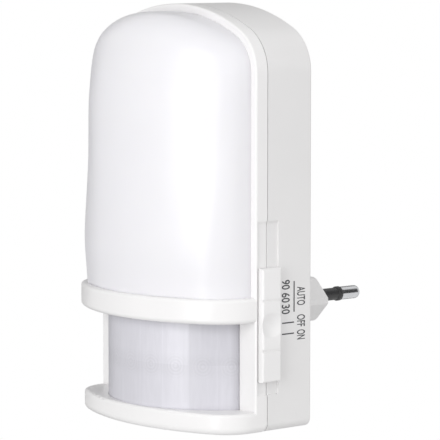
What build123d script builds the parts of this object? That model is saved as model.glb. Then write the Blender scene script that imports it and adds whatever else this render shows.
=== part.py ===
from build123d import *
from math import asin, atan2, cos, radians, sin, sqrt, tan
import os

# Plug-in night light with an arched diffuser, a motion sensor window and a slide switch.
# Frame: origin at the middle of the plug's engagement face, between the pins.
# +X is the side with the switch, +Z is up and the light faces -Y.
# A depth is measured forward from the engagement face, so it is -Y.
# A height is measured up from the bottom edge of the housing.

# ---- housing outline, mm ----
WIDTH = 71.0
HEIGHT = 122.0
ARCH_CORNER_R = 14.0
ARCH_RISE = 19.2
BOTTOM_CORNER_R = 2.4
WALL = 2.0
REAR_DEPTH = 16.8
FRAME_DEPTH = 4.5
REAR_EDGE_R = 0.8
FRONT_EDGE_R = 0.6
SEAM_GROOVE_WIDTH = 0.3
SEAM_GROOVE_DEPTH = 0.8

# ---- plug ----
PIN_HEIGHT = 33.4
PLUG_REACH = 23.5
PLUG_WIDTH = 35.3
PLUG_HEIGHT = 13.3
PLUG_DROP = 0.5
PLUG_END_FLAT = 1.9
PLUG_TOP_FLAT = 24.0
PLUG_WALL = 1.8
PLUG_END_WALL = 2.6
PLUG_EDGE_R = 0.9
PLUG_CORNER_R = 3.0
PLUG_END_R = 0.6
PIN_SPACING = 19.0
PIN_LENGTH = 19.0
PIN_D = 4.0
PIN_TIP_R = 1.5
PIN_METAL_LENGTH = 7.6
PIN_CORE_D = 3.0
PIN_TAIL_DEPTH = 15.5
SLEEVE_D = 3.6
SLEEVE_COLLAR_D = 4.4
SLEEVE_COLLAR_LENGTH = 3.4
SLEEVE_INNER_DEPTH = 10.5
CARRIER_LENGTH = 9.5
LEAD_D = 1.6
LEAD_SHIFT = 3.0
LEAD_BEND_SHARE = 0.45

# ---- front frame: rim, brow above the sensor window, lip below it ----
RIM_WIDTH = 2.2
RIM_DEPTH = 1.6
RECESS_WALL = 1.0
FACE_WALL = 2.0
FLOOR_WALL = 1.6
LIP_HEIGHT = 6.1
LIP_REACH = 18.1
LIP_CORNER_R = 11.9
LIP_STRAIGHT = 1.0
LIP_TOP_EDGE_R = 0.9
LIP_BOTTOM_EDGE_R = 2.0
BROW_HEIGHT = 31.8
BROW_TALL = 7.2
BROW_REACH = 21.5
BROW_CORNER_R = 15.8
BROW_STRAIGHT = 0.2
BROW_TOP_EDGE_R = 1.0
BROW_BOTTOM_EDGE_R = 1.4
TONGUE_LENGTH = 1.2

# ---- diffuser ----
DIFFUSER_WALL = 2.0
DIFFUSER_BASE_REACH = 19.75
DIFFUSER_SWELL = 1.7
DIFFUSER_SWELL_TALL = 16.0
DIFFUSER_TAPER = 3.4
DIFFUSER_TAPER_START = 89.0
DIFFUSER_EDGE_R_LOW = 15.0
DIFFUSER_EDGE_R_HIGH = 10.0
DIFFUSER_EDGE_R_TALL = 45.0
DIFFUSER_SIDE_LEVELS = 8
DIFFUSER_ARCH_LEVELS = 14
DIFFUSER_LAST_ANGLE = 84.0
FLANGE_THICKNESS = 1.5

# ---- sensor window ----
PILLAR_WIDTH = 7.1
LENS_REACH = 16.7
LENS_THICKNESS = 0.6
LENS_TAB = 1.8
LENS_GROOVE = 0.8
RETAINER_BAR = 2.4
RETAINER_DEPTH = 2.1
RETAINER_FLANGE = 0.9

# ---- slide switch ----
SWITCH_HEIGHT = 31.1
SWITCH_PITCH = 3.5
STEPS_UP = 3
STEPS_DOWN = 1
KNOB_LENGTH = 32.6
KNOB_WIDTH = 5.8
KNOB_THICKNESS = 2.2
KNOB_EDGE_R = 0.5
KNOB_DIMPLE_D = 7.4
KNOB_DIMPLE_DEPTH = 0.8
KNOB_GROOVE_OFFSET = 7.2
KNOB_GROOVE_WIDTH = 0.7
KNOB_GROOVE_DEPTH = 0.35
TRACK_RECESS = 0.5
TRACK_WIDTH = 8.0
TRACK_SPARE_TOP = 2.8
TRACK_SPARE_BOTTOM = 0.5
POST_THICKNESS = 2.0
POST_TALL = 5.0
POST_FORK_LENGTH = 3.0
POST_FORK_ROOT = 1.0
HOOK_THICKNESS = 1.7
HOOK_REACH = 2.0
ACTUATOR_TALL = 2.0
ACTUATOR_THICKNESS = 1.4
SWITCH_CASE_THICKNESS = 4.8
SWITCH_CASE_WIDTH = 6.5
SWITCH_CASE_END = 3.2
SWITCH_SHELL = 0.5
SWITCH_BASE = 1.2
LEVER_WINDOW_DEPTH = 2.0
CARRIAGE_HALF = 2.7
TERMINAL_WIDTH = 1.0
TERMINAL_REACH = 1.2

# ---- boards ----
BOARD_THICKNESS = 1.6
BOARD_SIDE_GAP = 11.5
BOARD_LOW = 6.5
BOARD_HIGH = 57.0
BOARD_SCREW_INSET = 4.0
BOARD_SCREW_HEIGHTS = (12.0, 52.6)
POST_R = 2.6
TRAY_THICKNESS = 1.5
LED_BOARD_SIDE_GAP = 18.5
LED_BOARD_LOW = 49.0
LED_BOARD_TOP_GAP = 12.0
LED_BOARD_CORNER_R = 2.0
LED_SCREW_INSET = 4.0
LED_SCREW_LOW_INSET = 13.0
LED_SCREW_HIGH_INSET = 8.0
LED_COLUMNS = 2
LED_ROWS = 5
LED_COLUMN_INSET = 6.0
LED_ROWS_RAISED = 2.5
LED_PITCH_Z = 10.5
LED_LENGTH = 3.5
LED_WIDTH = 2.8
LED_THICKNESS = 0.7
LINK_HEIGHT = 53.0
LINK_PITCH = 2.54
LINK_PIN = 0.64

# ---- screws ----
HOUSING_SCREW_INSET = 5.5
HOUSING_SCREW_HEIGHT = 10.0
HOUSING_BOSS_R = 3.8
HOUSING_BOSS_GAP = 0.2
FRONT_BOSS_R = 3.0
FRONT_BOSS_REACH = 4.7
SCREW_D = 2.9
SCREW_HEAD_D = 5.4
SCREW_HEAD_TALL = 2.0
SCREW_RECESS = 5.0
SCREW_LENGTH = 13.0
SMALL_SCREW_D = 2.2
SMALL_HEAD_D = 4.2
SMALL_HEAD_TALL = 1.4
SMALL_SCREW_LENGTH = 7.0
LED_SCREW_LENGTH = 8.0
DRIVE_DEPTH = 0.8
DRIVE_WIDTH = 0.6
DRIVE_SHARE = 0.7

# ---- sensor and components ----
SENSOR_CAN_D = 9.1
SENSOR_CAN_TALL = 4.2
SENSOR_FLANGE_D = 9.9
SENSOR_FLANGE_TALL = 0.5
SENSOR_WINDOW = (4.6, 3.6)
SENSOR_WINDOW_THICKNESS = 0.4
SENSOR_CAN_WALL = 0.4
SENSOR_LEAD_CIRCLE_D = 5.08
SENSOR_LEAD_D = 0.45
SENSOR_SPACER = 1.0
LEAD_STUB = 0.8
SIDE_COMPONENT_INSET = 8.0
PHOTOCELL_HEIGHT = 13.0
PHOTOCELL_D = 5.0
PHOTOCELL_TALL = 2.0
PHOTOCELL_STANDOFF = 2.5
PHOTOCELL_LEAD_SPACING = 3.4
FILM_CAP_SIZE = (26.0, 8.0, 9.5)
FILM_CAP_HEIGHT = 47.5
ELECTROLYTIC_D = 8.0
ELECTROLYTIC_TALL = 8.5
ELECTROLYTIC_INSET = 6.0
ELECTROLYTIC_HEIGHT = 15.0
RECTIFIER_SIZE = (8.4, 2.6, 6.4)
RECTIFIER_HEIGHT = 10.5
FUSE_RESISTOR_D = 3.4
FUSE_RESISTOR_LENGTH = 9.5
FUSE_RESISTOR_INSET = 4.5
FUSE_RESISTOR_HEIGHT = 33.0
CHIP_SIZE = (8.7, 1.5, 3.9)
CHIP_HEIGHT = 13.0
CHIP_LEGS = 7
CHIP_LEG_PITCH = 1.27
CHIP_LEG = (0.4, 0.8, 1.1)
RESISTOR_SIZE = (2.0, 0.6, 1.25)
RESISTOR_COUNT = 6
RESISTOR_PITCH = 3.4
RESISTOR_ROW_X = -4.0
RESISTOR_ROW_HEIGHT = 40.0

# ---- fits and clearances ----
SLIDE_CLEARANCE = 0.15
SEAM_CLEARANCE = 0.15
DIFFUSER_CLEARANCE = 0.08
LENS_CLEARANCE = 0.1
SEAT_CLEARANCE = 0.1
HOLE_CLEARANCE = 0.2
PRESS_CLEARANCE = 0.02
SLOT_CLEARANCE = 0.3

# ---- places worked out from the sizes ----
HALF = WIDTH / 2
BACK = PLUG_REACH
PART_LINE = BACK + REAR_DEPTH
FRONT = PART_LINE + FRAME_DEPTH
LIP_NOSE = FRONT + LIP_REACH
BROW_NOSE = FRONT + BROW_REACH
BROW_TOP = BROW_HEIGHT + BROW_TALL
FLOOR_TOP = BROW_HEIGHT + FLOOR_WALL
SPRING = HEIGHT - ARCH_RISE
CORNER_X = HALF - ARCH_CORNER_R
WINDOW_HALF = HALF - PILLAR_WIDTH
HOUSING_SCREW_X = HALF - HOUSING_SCREW_INSET
BOARD_HALF_WIDTH = HALF - BOARD_SIDE_GAP
BOARD_SCREW_X = BOARD_HALF_WIDTH - BOARD_SCREW_INSET
LED_BOARD_HALF_WIDTH = HALF - LED_BOARD_SIDE_GAP
LED_BOARD_HIGH = HEIGHT - LED_BOARD_TOP_GAP
LED_SCREW_X = LED_BOARD_HALF_WIDTH - LED_SCREW_INSET
LED_SCREW_HEIGHTS = (LED_BOARD_LOW + LED_SCREW_LOW_INSET, LED_BOARD_HIGH - LED_SCREW_HIGH_INSET)
LED_PITCH_X = 2 * (LED_SCREW_X - LED_COLUMN_INSET)
PHOTOCELL_X = BOARD_SCREW_X - SIDE_COMPONENT_INSET
CHIP_X = -PHOTOCELL_X
ELECTROLYTIC_X = (ELECTROLYTIC_INSET - BOARD_SCREW_X, BOARD_SCREW_X - ELECTROLYTIC_INSET)
FUSE_RESISTOR_X = FUSE_RESISTOR_INSET - BOARD_HALF_WIDTH
CROWN_R = (CORNER_X**2 + ARCH_RISE**2 - ARCH_CORNER_R**2) / (2 * (ARCH_RISE - ARCH_CORNER_R))
CROWN_CENTRE = HEIGHT - CROWN_R
CROWN_ANGLE = atan2(CORNER_X, SPRING - CROWN_CENTRE)
BOARD_FRONT = PART_LINE - SWITCH_CASE_THICKNESS / 2
BOARD_BACK = BOARD_FRONT - BOARD_THICKNESS
DIFFUSER_GAP = RIM_WIDTH + DIFFUSER_CLEARANCE
DIFFUSER_FOOT = FLOOR_TOP + SEAT_CLEARANCE
SWELL_START = BROW_TOP + 0.5
FLANGE_FRONT = FRONT - RIM_DEPTH - SEAT_CLEARANCE
FLANGE_BACK = FLANGE_FRONT - FLANGE_THICKNESS
LED_BOARD_BACK = FRONT - SEAT_CLEARANCE
TRAY_BACK = LED_BOARD_BACK - TRAY_THICKNESS
LED_BOARD_FRONT = LED_BOARD_BACK + BOARD_THICKNESS
LENS_R = (WINDOW_HALF**2 + LENS_REACH**2) / (2 * LENS_REACH)
LENS_CENTRE = FRONT + LENS_REACH - LENS_R
WINDOW_MIDDLE = (LIP_HEIGHT + BROW_HEIGHT) / 2
KNOB_INNER_X = HALF - TRACK_RECESS + SLIDE_CLEARANCE
TRAVEL_UP = STEPS_UP * SWITCH_PITCH
TRAVEL_DOWN = STEPS_DOWN * SWITCH_PITCH
SLOT_LOW = SWITCH_HEIGHT - TRAVEL_DOWN - POST_TALL / 2 - SLOT_CLEARANCE
SLOT_HIGH = SWITCH_HEIGHT + TRAVEL_UP + POST_TALL / 2 + SLOT_CLEARANCE
TRACK_LOW = SWITCH_HEIGHT - KNOB_LENGTH / 2 - TRAVEL_DOWN - TRACK_SPARE_BOTTOM
TRACK_HIGH = SWITCH_HEIGHT + KNOB_LENGTH / 2 + TRAVEL_UP + TRACK_SPARE_TOP
HOOK_OUTER_X = HALF - WALL - SLOT_CLEARANCE
HOOK_INNER_X = HOOK_OUTER_X - HOOK_THICKNESS
FORK_INNER_X = HOOK_INNER_X - POST_FORK_LENGTH - POST_FORK_ROOT
CASE_OUTER_X = BOARD_HALF_WIDTH
CASE_INNER_X = CASE_OUTER_X - SWITCH_CASE_WIDTH
CASE_LOW = SWITCH_HEIGHT - TRAVEL_DOWN - ACTUATOR_TALL / 2 - SWITCH_CASE_END
CASE_HIGH = SWITCH_HEIGHT + TRAVEL_UP + ACTUATOR_TALL / 2 + SWITCH_CASE_END


def z_at(height):
    """Row Z of a height above the bottom edge."""
    return height - PIN_HEIGHT


def facing(depth):
    """Upright plane at a depth; its normal points forward."""
    return Plane.XZ.offset(depth)


def level(height):
    """Flat plane at a height above the bottom edge."""
    return Plane.XY.offset(z_at(height))


def block(x_span, depth_span, height_span, mode=Mode.ADD):
    """Box between two side positions, two depths and two heights."""
    middle = (
        sum(x_span) / 2,
        -sum(depth_span) / 2,
        z_at(sum(height_span) / 2),
    )
    size = [abs(b - a) for a, b in (x_span, depth_span, height_span)]
    with Locations(middle):
        return Box(*size, mode=mode)


def rod(x, height, depth_span, radius, mode=Mode.ADD):
    """Cylinder that runs front to back between two depths."""
    place = Location((x, -sum(depth_span) / 2, z_at(height)), (90, 0, 0))
    with Locations(place):
        return Cylinder(radius, abs(depth_span[1] - depth_span[0]), mode=mode)


def arch_half_width(height, inset):
    """Half width of the arched outline, moved inwards by an inset, at a height."""
    corner = ARCH_CORNER_R - inset
    shoulder = CROWN_CENTRE + (CROWN_R - inset) * cos(CROWN_ANGLE)
    if height <= SPRING:
        return HALF - inset
    if height <= shoulder:
        return CORNER_X + sqrt(max(corner**2 - (height - SPRING) ** 2, 0))
    return sqrt(max((CROWN_R - inset) ** 2 - (height - CROWN_CENTRE) ** 2, 0))


def arch(inset, foot=None):
    """Arched front outline, moved inwards by an inset; a foot height cuts it off square."""
    half = HALF - inset
    corner = ARCH_CORNER_R - inset
    crown = CROWN_R - inset
    low = inset if foot is None else foot
    low_r = max(BOTTOM_CORNER_R - inset, 0.4) if foot is None else 0.4
    shoulder = (CORNER_X + corner * sin(CROWN_ANGLE), z_at(SPRING + corner * cos(CROWN_ANGLE)))
    middle_angle = (radians(90) + CROWN_ANGLE) / 2
    haunch = (CORNER_X + corner * sin(middle_angle), z_at(SPRING + corner * cos(middle_angle)))
    top = (0, z_at(CROWN_CENTRE + crown))
    with BuildSketch() as outline:
        with BuildLine():
            Line((-half, z_at(low)), (half, z_at(low)))
            Line((half, z_at(low)), (half, z_at(SPRING)))
            ThreePointArc((half, z_at(SPRING)), haunch, shoulder)
            ThreePointArc(shoulder, top, (-shoulder[0], shoulder[1]))
            ThreePointArc((-shoulder[0], shoulder[1]), (-haunch[0], haunch[1]), (-half, z_at(SPRING)))
            Line((-half, z_at(SPRING)), (-half, z_at(low)))
        make_face()
        fillet(outline.vertices().group_by(Axis.Y)[0], low_r)
    return outline.sketch


def nose_plan(half, back, straight, corner, nose):
    """Plan of a rounded nose: straight sides, corner arcs and one wide front arc."""
    centre_x = half - corner
    rise = nose - straight
    front_r = (corner**2 - rise**2 - centre_x**2) / (2 * (corner - rise))
    front_centre = nose - front_r
    angle = atan2(centre_x, straight - front_centre)
    turn = (radians(90) + angle) / 2
    bend = (centre_x + corner * sin(turn), -(straight + corner * cos(turn)))
    meet = (centre_x + corner * sin(angle), -(straight + corner * cos(angle)))
    with BuildSketch() as plan:
        with BuildLine():
            Line((-half, -back), (half, -back))
            Line((half, -back), (half, -straight))
            ThreePointArc((half, -straight), bend, meet)
            ThreePointArc(meet, (0, -nose), (-meet[0], meet[1]))
            ThreePointArc((-meet[0], meet[1]), (-bend[0], bend[1]), (-half, -straight))
            Line((-half, -straight), (-half, -back))
        make_face()
    return plan.sketch


def plug_section(inset):
    """Flattened hexagon of the plug body, moved inwards by an inset."""
    half = PLUG_WIDTH / 2
    low, high = -PLUG_DROP - PLUG_HEIGHT / 2, -PLUG_DROP + PLUG_HEIGHT / 2
    end_low, end_high = -PLUG_DROP - PLUG_END_FLAT / 2, -PLUG_DROP + PLUG_END_FLAT / 2
    with BuildSketch() as section:
        with BuildLine():
            Polyline(
                (-half, end_low),
                (-PLUG_TOP_FLAT / 2, low),
                (PLUG_TOP_FLAT / 2, low),
                (half, end_low),
                (half, end_high),
                (PLUG_TOP_FLAT / 2, high),
                (-PLUG_TOP_FLAT / 2, high),
                (-half, end_high),
                close=True,
            )
        make_face()
        ends = section.vertices().group_by(Axis.X)
        fillet(ends[0] + ends[-1], PLUG_END_R)
        flats = section.vertices().group_by(Axis.Y)
        fillet(flats[0] + flats[-1], PLUG_CORNER_R)
        if inset > 0:
            offset(amount=-inset, kind=Kind.ARC)
    return section.sketch


def screw(x, height, seat, direction, shank_r, length, head_r, head_tall):
    """Pan-head screw; direction +1 drives it forward, -1 drives it back."""
    rod(x, height, (seat, seat + direction * length), shank_r)
    rod(x, height, (seat - direction * head_tall, seat), head_r)
    outer = seat - direction * head_tall
    inner = outer + direction * DRIVE_DEPTH
    arm = head_r * DRIVE_SHARE
    slot = DRIVE_WIDTH / 2
    depths = (min(outer, inner), max(outer, inner))
    block((x - arm, x + arm), depths, (height - slot, height + slot), Mode.SUBTRACT)
    block((x - slot, x + slot), depths, (height - arm, height + arm), Mode.SUBTRACT)


PINS_X = (-PIN_SPACING / 2, PIN_SPACING / 2)
HOUSING_SCREWS = [(side * HOUSING_SCREW_X, HOUSING_SCREW_HEIGHT) for side in (-1, 1)]
BOARD_SCREWS = [(side * BOARD_SCREW_X, h) for side in (-1, 1) for h in BOARD_SCREW_HEIGHTS]
LED_SCREWS = [(side * LED_SCREW_X, h) for side in (-1, 1) for h in LED_SCREW_HEIGHTS]
SCREW_SEAT = BACK + SCREW_RECESS
REAR_BOSS_END = PART_LINE - FRONT_BOSS_REACH - HOUSING_BOSS_GAP
KNOB_SLOT = (
    (HALF - WALL - 1.0, HALF + 1.0),
    (PART_LINE - POST_THICKNESS / 2 - SLOT_CLEARANCE, PART_LINE + POST_THICKNESS / 2 + SLOT_CLEARANCE),
    (SLOT_LOW, SLOT_HIGH),
)
KNOB_TRACK = (
    (HALF - TRACK_RECESS, HALF + 1.0),
    (PART_LINE - TRACK_WIDTH / 2, PART_LINE + TRACK_WIDTH / 2),
    (TRACK_LOW, TRACK_HIGH),
)

# ---- rear housing: back shell with the hollow plug body ----
with BuildPart() as rear_housing:
    with BuildSketch(facing(BACK)):
        add(arch(0))
    extrude(amount=REAR_DEPTH)
    fillet(rear_housing.edges().group_by(Axis.Y)[-1], REAR_EDGE_R)
    with BuildSketch(facing(0)):
        add(plug_section(0))
    extrude(amount=BACK + WALL / 2)
    fillet(rear_housing.edges().group_by(Axis.Y)[-1], PLUG_EDGE_R)
    with BuildSketch(facing(BACK + WALL)):
        add(arch(WALL))
    extrude(amount=REAR_DEPTH, mode=Mode.SUBTRACT)
    with BuildSketch(facing(PLUG_END_WALL)):
        add(plug_section(PLUG_WALL))
    extrude(amount=BACK + WALL - PLUG_END_WALL + 0.5, mode=Mode.SUBTRACT)
    # tongue that locates the front frame
    with BuildSketch(facing(PART_LINE - 0.5)):
        add(arch(RECESS_WALL + SEAM_CLEARANCE))
        add(arch(WALL), mode=Mode.SUBTRACT)
    extrude(amount=0.5 + TONGUE_LENGTH)
    for screw_x, screw_height in HOUSING_SCREWS:
        rod(screw_x, screw_height, (BACK + WALL / 2, REAR_BOSS_END), HOUSING_BOSS_R)
        rod(screw_x, screw_height, (BACK - 1, SCREW_SEAT), SCREW_HEAD_D / 2 + HOLE_CLEARANCE, Mode.SUBTRACT)
        rod(screw_x, screw_height, (BACK, REAR_BOSS_END + 1), SCREW_D / 2 + HOLE_CLEARANCE, Mode.SUBTRACT)
    for screw_x, screw_height in BOARD_SCREWS:
        rod(screw_x, screw_height, (BACK + WALL / 2, BOARD_BACK), POST_R)
        hole = (BOARD_BACK - SMALL_SCREW_LENGTH, BOARD_BACK + 1)
        rod(screw_x, screw_height, hole, SMALL_SCREW_D / 2 + PRESS_CLEARANCE, Mode.SUBTRACT)
    for screw_x, screw_height in LED_SCREWS:
        rod(screw_x, screw_height, (BACK + WALL / 2, TRAY_BACK), POST_R)
        hole = (TRAY_BACK - LED_SCREW_LENGTH, TRAY_BACK + 1)
        rod(screw_x, screw_height, hole, SMALL_SCREW_D / 2 + PRESS_CLEARANCE, Mode.SUBTRACT)
    for pin_x in PINS_X:
        hole = (-1, PLUG_END_WALL + 1)
        rod(pin_x, PIN_HEIGHT, hole, SLEEVE_D / 2 + PRESS_CLEARANCE, Mode.SUBTRACT)
    block(*KNOB_SLOT, Mode.SUBTRACT)
    block(*KNOB_TRACK, Mode.SUBTRACT)
rear_housing.part.label = "rear_housing"

# ---- front frame: rim, brow, lip and the pillars beside the window ----
with BuildPart() as front_frame:
    with BuildSketch(facing(PART_LINE)):
        add(arch(0))
    extrude(amount=FRAME_DEPTH)
    fillet(front_frame.edges().group_by(Axis.Y)[0], FRONT_EDGE_R)
with BuildPart() as brow:
    with BuildSketch(level(BROW_HEIGHT)):
        add(nose_plan(HALF, PART_LINE + 1, FRONT + BROW_STRAIGHT, BROW_CORNER_R, BROW_NOSE))
    extrude(amount=BROW_TALL)
    fillet(brow.edges().group_by(Axis.Z)[-1].sort_by(Axis.Y)[:-1], BROW_TOP_EDGE_R)
    fillet(brow.edges().group_by(Axis.Z)[0].sort_by(Axis.Y)[:-1], BROW_BOTTOM_EDGE_R)
with BuildPart() as lip:
    with BuildSketch(level(0)):
        add(nose_plan(HALF, PART_LINE + 1, FRONT + LIP_STRAIGHT, LIP_CORNER_R, LIP_NOSE))
    extrude(amount=LIP_HEIGHT)
    fillet(lip.edges().group_by(Axis.Z)[-1].sort_by(Axis.Y)[:-1], LIP_TOP_EDGE_R)
    fillet(lip.edges().group_by(Axis.Z)[0].sort_by(Axis.Y)[:-1], LIP_BOTTOM_EDGE_R)
with front_frame:
    add(brow.part)
    add(lip.part)
    # room for the electronics behind the face wall
    with BuildSketch(facing(PART_LINE)):
        add(arch(WALL))
    extrude(amount=FRAME_DEPTH - FACE_WALL, mode=Mode.SUBTRACT)
    # recess for the tongue all round
    with BuildSketch(facing(PART_LINE)):
        add(arch(RECESS_WALL))
    extrude(amount=TONGUE_LENGTH + SEAT_CLEARANCE, mode=Mode.SUBTRACT)
    # opening and flange recess for the diffuser
    with BuildSketch(facing(PART_LINE)):
        add(arch(RIM_WIDTH, FLOOR_TOP))
    extrude(amount=FRAME_DEPTH + 1, mode=Mode.SUBTRACT)
    with BuildSketch(facing(PART_LINE)):
        add(arch(RECESS_WALL, FLOOR_TOP))
    extrude(amount=FRAME_DEPTH - RIM_DEPTH, mode=Mode.SUBTRACT)
    with BuildSketch(level(FLOOR_TOP)):
        add(
            nose_plan(
                HALF - RIM_WIDTH,
                FRONT - 1,
                FRONT,
                DIFFUSER_EDGE_R_LOW + DIFFUSER_CLEARANCE,
                FRONT + DIFFUSER_BASE_REACH + DIFFUSER_CLEARANCE,
            )
        )
    extrude(amount=BROW_TALL, mode=Mode.SUBTRACT)
    # hollow of the lip, open to the back
    with BuildSketch(level(WALL)):
        add(
            nose_plan(
                HALF - WALL,
                PART_LINE,
                FRONT + LIP_STRAIGHT,
                LIP_CORNER_R - WALL,
                LIP_NOSE - WALL,
            )
        )
    extrude(amount=LIP_HEIGHT - WALL - FLOOR_WALL, mode=Mode.SUBTRACT)
    # curved groove above and below the lens
    with BuildSketch(level(LIP_HEIGHT - LENS_GROOVE)) as groove:
        with Locations((0, -LENS_CENTRE)):
            Circle(LENS_R + LENS_CLEARANCE)
            Circle(LENS_R - LENS_THICKNESS - LENS_CLEARANCE, mode=Mode.SUBTRACT)
        with Locations((0, -(FRONT + LENS_R))):
            Rectangle(2 * WIDTH, 2 * LENS_R, mode=Mode.INTERSECT)
    extrude(amount=BROW_HEIGHT - LIP_HEIGHT + 2 * LENS_GROOVE, mode=Mode.SUBTRACT)
    # screw bosses that reach back to meet the rear ones
    for screw_x, screw_height in HOUSING_SCREWS:
        side = 1 if screw_x > 0 else -1
        front_boss = (PART_LINE - FRONT_BOSS_REACH, FRONT - FACE_WALL + 0.5)
        rod(screw_x, screw_height, front_boss, FRONT_BOSS_R)
        web_x = (screw_x, side * (HALF - RECESS_WALL / 2))
        web_depth = (PART_LINE + TONGUE_LENGTH + SLOT_CLEARANCE, FRONT - FACE_WALL + 0.5)
        block(web_x, web_depth, (screw_height - 1, screw_height + 1))
        hole = (PART_LINE - FRONT_BOSS_REACH - 1, FRONT - FACE_WALL)
        rod(screw_x, screw_height, hole, SCREW_D / 2 + PRESS_CLEARANCE, Mode.SUBTRACT)
    # sensor window
    block(
        (-WINDOW_HALF, WINDOW_HALF),
        (FRONT - FACE_WALL, FRONT + 0.5),
        (LIP_HEIGHT, BROW_HEIGHT),
        Mode.SUBTRACT,
    )
    block(*KNOB_SLOT, Mode.SUBTRACT)
    block(*KNOB_TRACK, Mode.SUBTRACT)
    # shadow groove along the parting line
    with BuildSketch(facing(PART_LINE)):
        add(arch(-SEAM_GROOVE_WIDTH))
        add(arch(SEAM_GROOVE_DEPTH), mode=Mode.SUBTRACT)
    extrude(amount=SEAM_GROOVE_WIDTH, mode=Mode.SUBTRACT)
front_frame.part.label = "front_frame"


def smooth_share(height, start, tall):
    """Share from 0 to 1 over a height, with soft ends."""
    share = min(1.0, max(0.0, (height - start) / tall))
    return share * share * (3 - 2 * share)


def edge_radius(height):
    """Rounding between the dome's face and its sides: it gets smaller upwards."""
    share = smooth_share(height, SWELL_START, DIFFUSER_EDGE_R_TALL)
    return DIFFUSER_EDGE_R_LOW + (DIFFUSER_EDGE_R_HIGH - DIFFUSER_EDGE_R_LOW) * share


def sheet_depth(x, height, edge_r):
    """Depth of the middle sheet that the dome's rounding rolls over: bowed, swelling, then tapering."""
    centre_x = HALF - DIFFUSER_GAP - edge_r
    rise = DIFFUSER_BASE_REACH - edge_r
    bow_r = (centre_x**2 + rise**2) / (2 * rise)
    swell = DIFFUSER_SWELL * smooth_share(height, SWELL_START, DIFFUSER_SWELL_TALL)
    taper_tall = HEIGHT - DIFFUSER_GAP - edge_r - DIFFUSER_TAPER_START
    taper = DIFFUSER_TAPER * max(0.0, (height - DIFFUSER_TAPER_START) / taper_tall) ** 2
    return FRONT + rise - bow_r + sqrt(bow_r**2 - min(abs(x), centre_x) ** 2) + swell - taper


def way_inwards(x, height, inset):
    """Distance to the arched outline, moved inwards by an inset, and the direction away from it."""
    side = 1 if x >= 0 else -1
    across, up = abs(x) - CORNER_X, height - SPRING
    if across > 0 and up > 0 and atan2(across, up) >= CROWN_ANGLE:
        reach = sqrt(across**2 + up**2)
        return ARCH_CORNER_R - inset - reach, -side * across / reach, -up / reach
    reach = sqrt(x**2 + (height - CROWN_CENTRE) ** 2)
    to_side, to_crown = HALF - inset - abs(x), CROWN_R - inset - reach
    if up <= 0 and to_side <= to_crown:
        return to_side, -side, 0.0
    return to_crown, -x / reach, -(height - CROWN_CENTRE) / reach


def dome_depth(x, height, inset):
    """Depth of the dome where a ball of the edge radius rolls over the middle sheet."""
    edge_r = edge_radius(height)
    ball_r = edge_r - inset
    distance, way_x, way_z = way_inwards(x, height, DIFFUSER_GAP + inset)
    left = min(max(ball_r - distance, 0.0), ball_r)
    near_x, near_z = x + way_x * left, height + way_z * left
    step = 0.01
    slope_x = (sheet_depth(near_x + step, near_z, edge_r) - sheet_depth(near_x - step, near_z, edge_r)) / (2 * step)
    slope_z = (sheet_depth(near_x, near_z + step, edge_r) - sheet_depth(near_x, near_z - step, edge_r)) / (2 * step)
    steep = sqrt(1 + slope_x**2 + slope_z**2)
    inwards = slope_x * way_x + slope_z * way_z
    if ball_r * inwards / steep >= left:
        moved_x, moved_z = ball_r * slope_x / steep, ball_r * slope_z / steep
        return sheet_depth(x + moved_x, height + moved_z, edge_r) + ball_r / steep
    along_x, along_z = slope_x - inwards * way_x, slope_z - inwards * way_z
    along = along_x**2 + along_z**2
    chord = sqrt(ball_r**2 - left**2)
    share = chord / sqrt(1 + along)
    return sheet_depth(near_x + along_x * share, near_z + along_z * share, edge_r) + share


def dome_plan(height, inset, back):
    """Plan of the dome at a height: straight sides, corner arcs and one wide front arc."""
    half = arch_half_width(height, DIFFUSER_GAP + inset)
    edge_r = edge_radius(height)
    centre_x = HALF - DIFFUSER_GAP - edge_r
    rise = DIFFUSER_BASE_REACH - edge_r
    bow_r = (centre_x**2 + rise**2) / (2 * rise)
    meet_turn = asin((centre_x + (edge_r - inset) * centre_x / bow_r) / (HALF - DIFFUSER_GAP - inset))
    turns = (radians(90), (radians(90) + meet_turn) / 2, meet_turn, 0)
    edge, bend, meet, nose = [(half * sin(turn), -dome_depth(half * sin(turn), height, inset)) for turn in turns]
    with BuildSketch() as plan:
        with BuildLine():
            Line((-half, -back), (half, -back))
            Line((half, -back), edge)
            ThreePointArc(edge, bend, meet)
            ThreePointArc(meet, nose, (-meet[0], meet[1]))
            ThreePointArc((-meet[0], meet[1]), (-bend[0], bend[1]), (-half, edge[1]))
            Line((-half, edge[1]), (-half, -back))
        make_face()
    return plan.sketch


def diffuser_dome(inset, foot, back):
    """Solid dome of the diffuser, moved inwards by an inset, from a foot height up."""
    crown = HEIGHT - DIFFUSER_GAP - inset
    side_rise = (SPRING - SWELL_START) / DIFFUSER_SIDE_LEVELS
    side_steps = [foot] + [SWELL_START + side_rise * step for step in range(DIFFUSER_SIDE_LEVELS)]
    last = radians(DIFFUSER_LAST_ANGLE)
    arch_angles = [last * step / DIFFUSER_ARCH_LEVELS for step in range(DIFFUSER_ARCH_LEVELS + 1)]
    arch_steps = [SPRING + (crown - SPRING) * sin(angle) for angle in arch_angles]
    with BuildPart() as dome:
        for height in side_steps + arch_steps:
            with BuildSketch(level(height)):
                add(dome_plan(height, inset, back))
        loft(ruled=True)
    return dome.part


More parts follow.
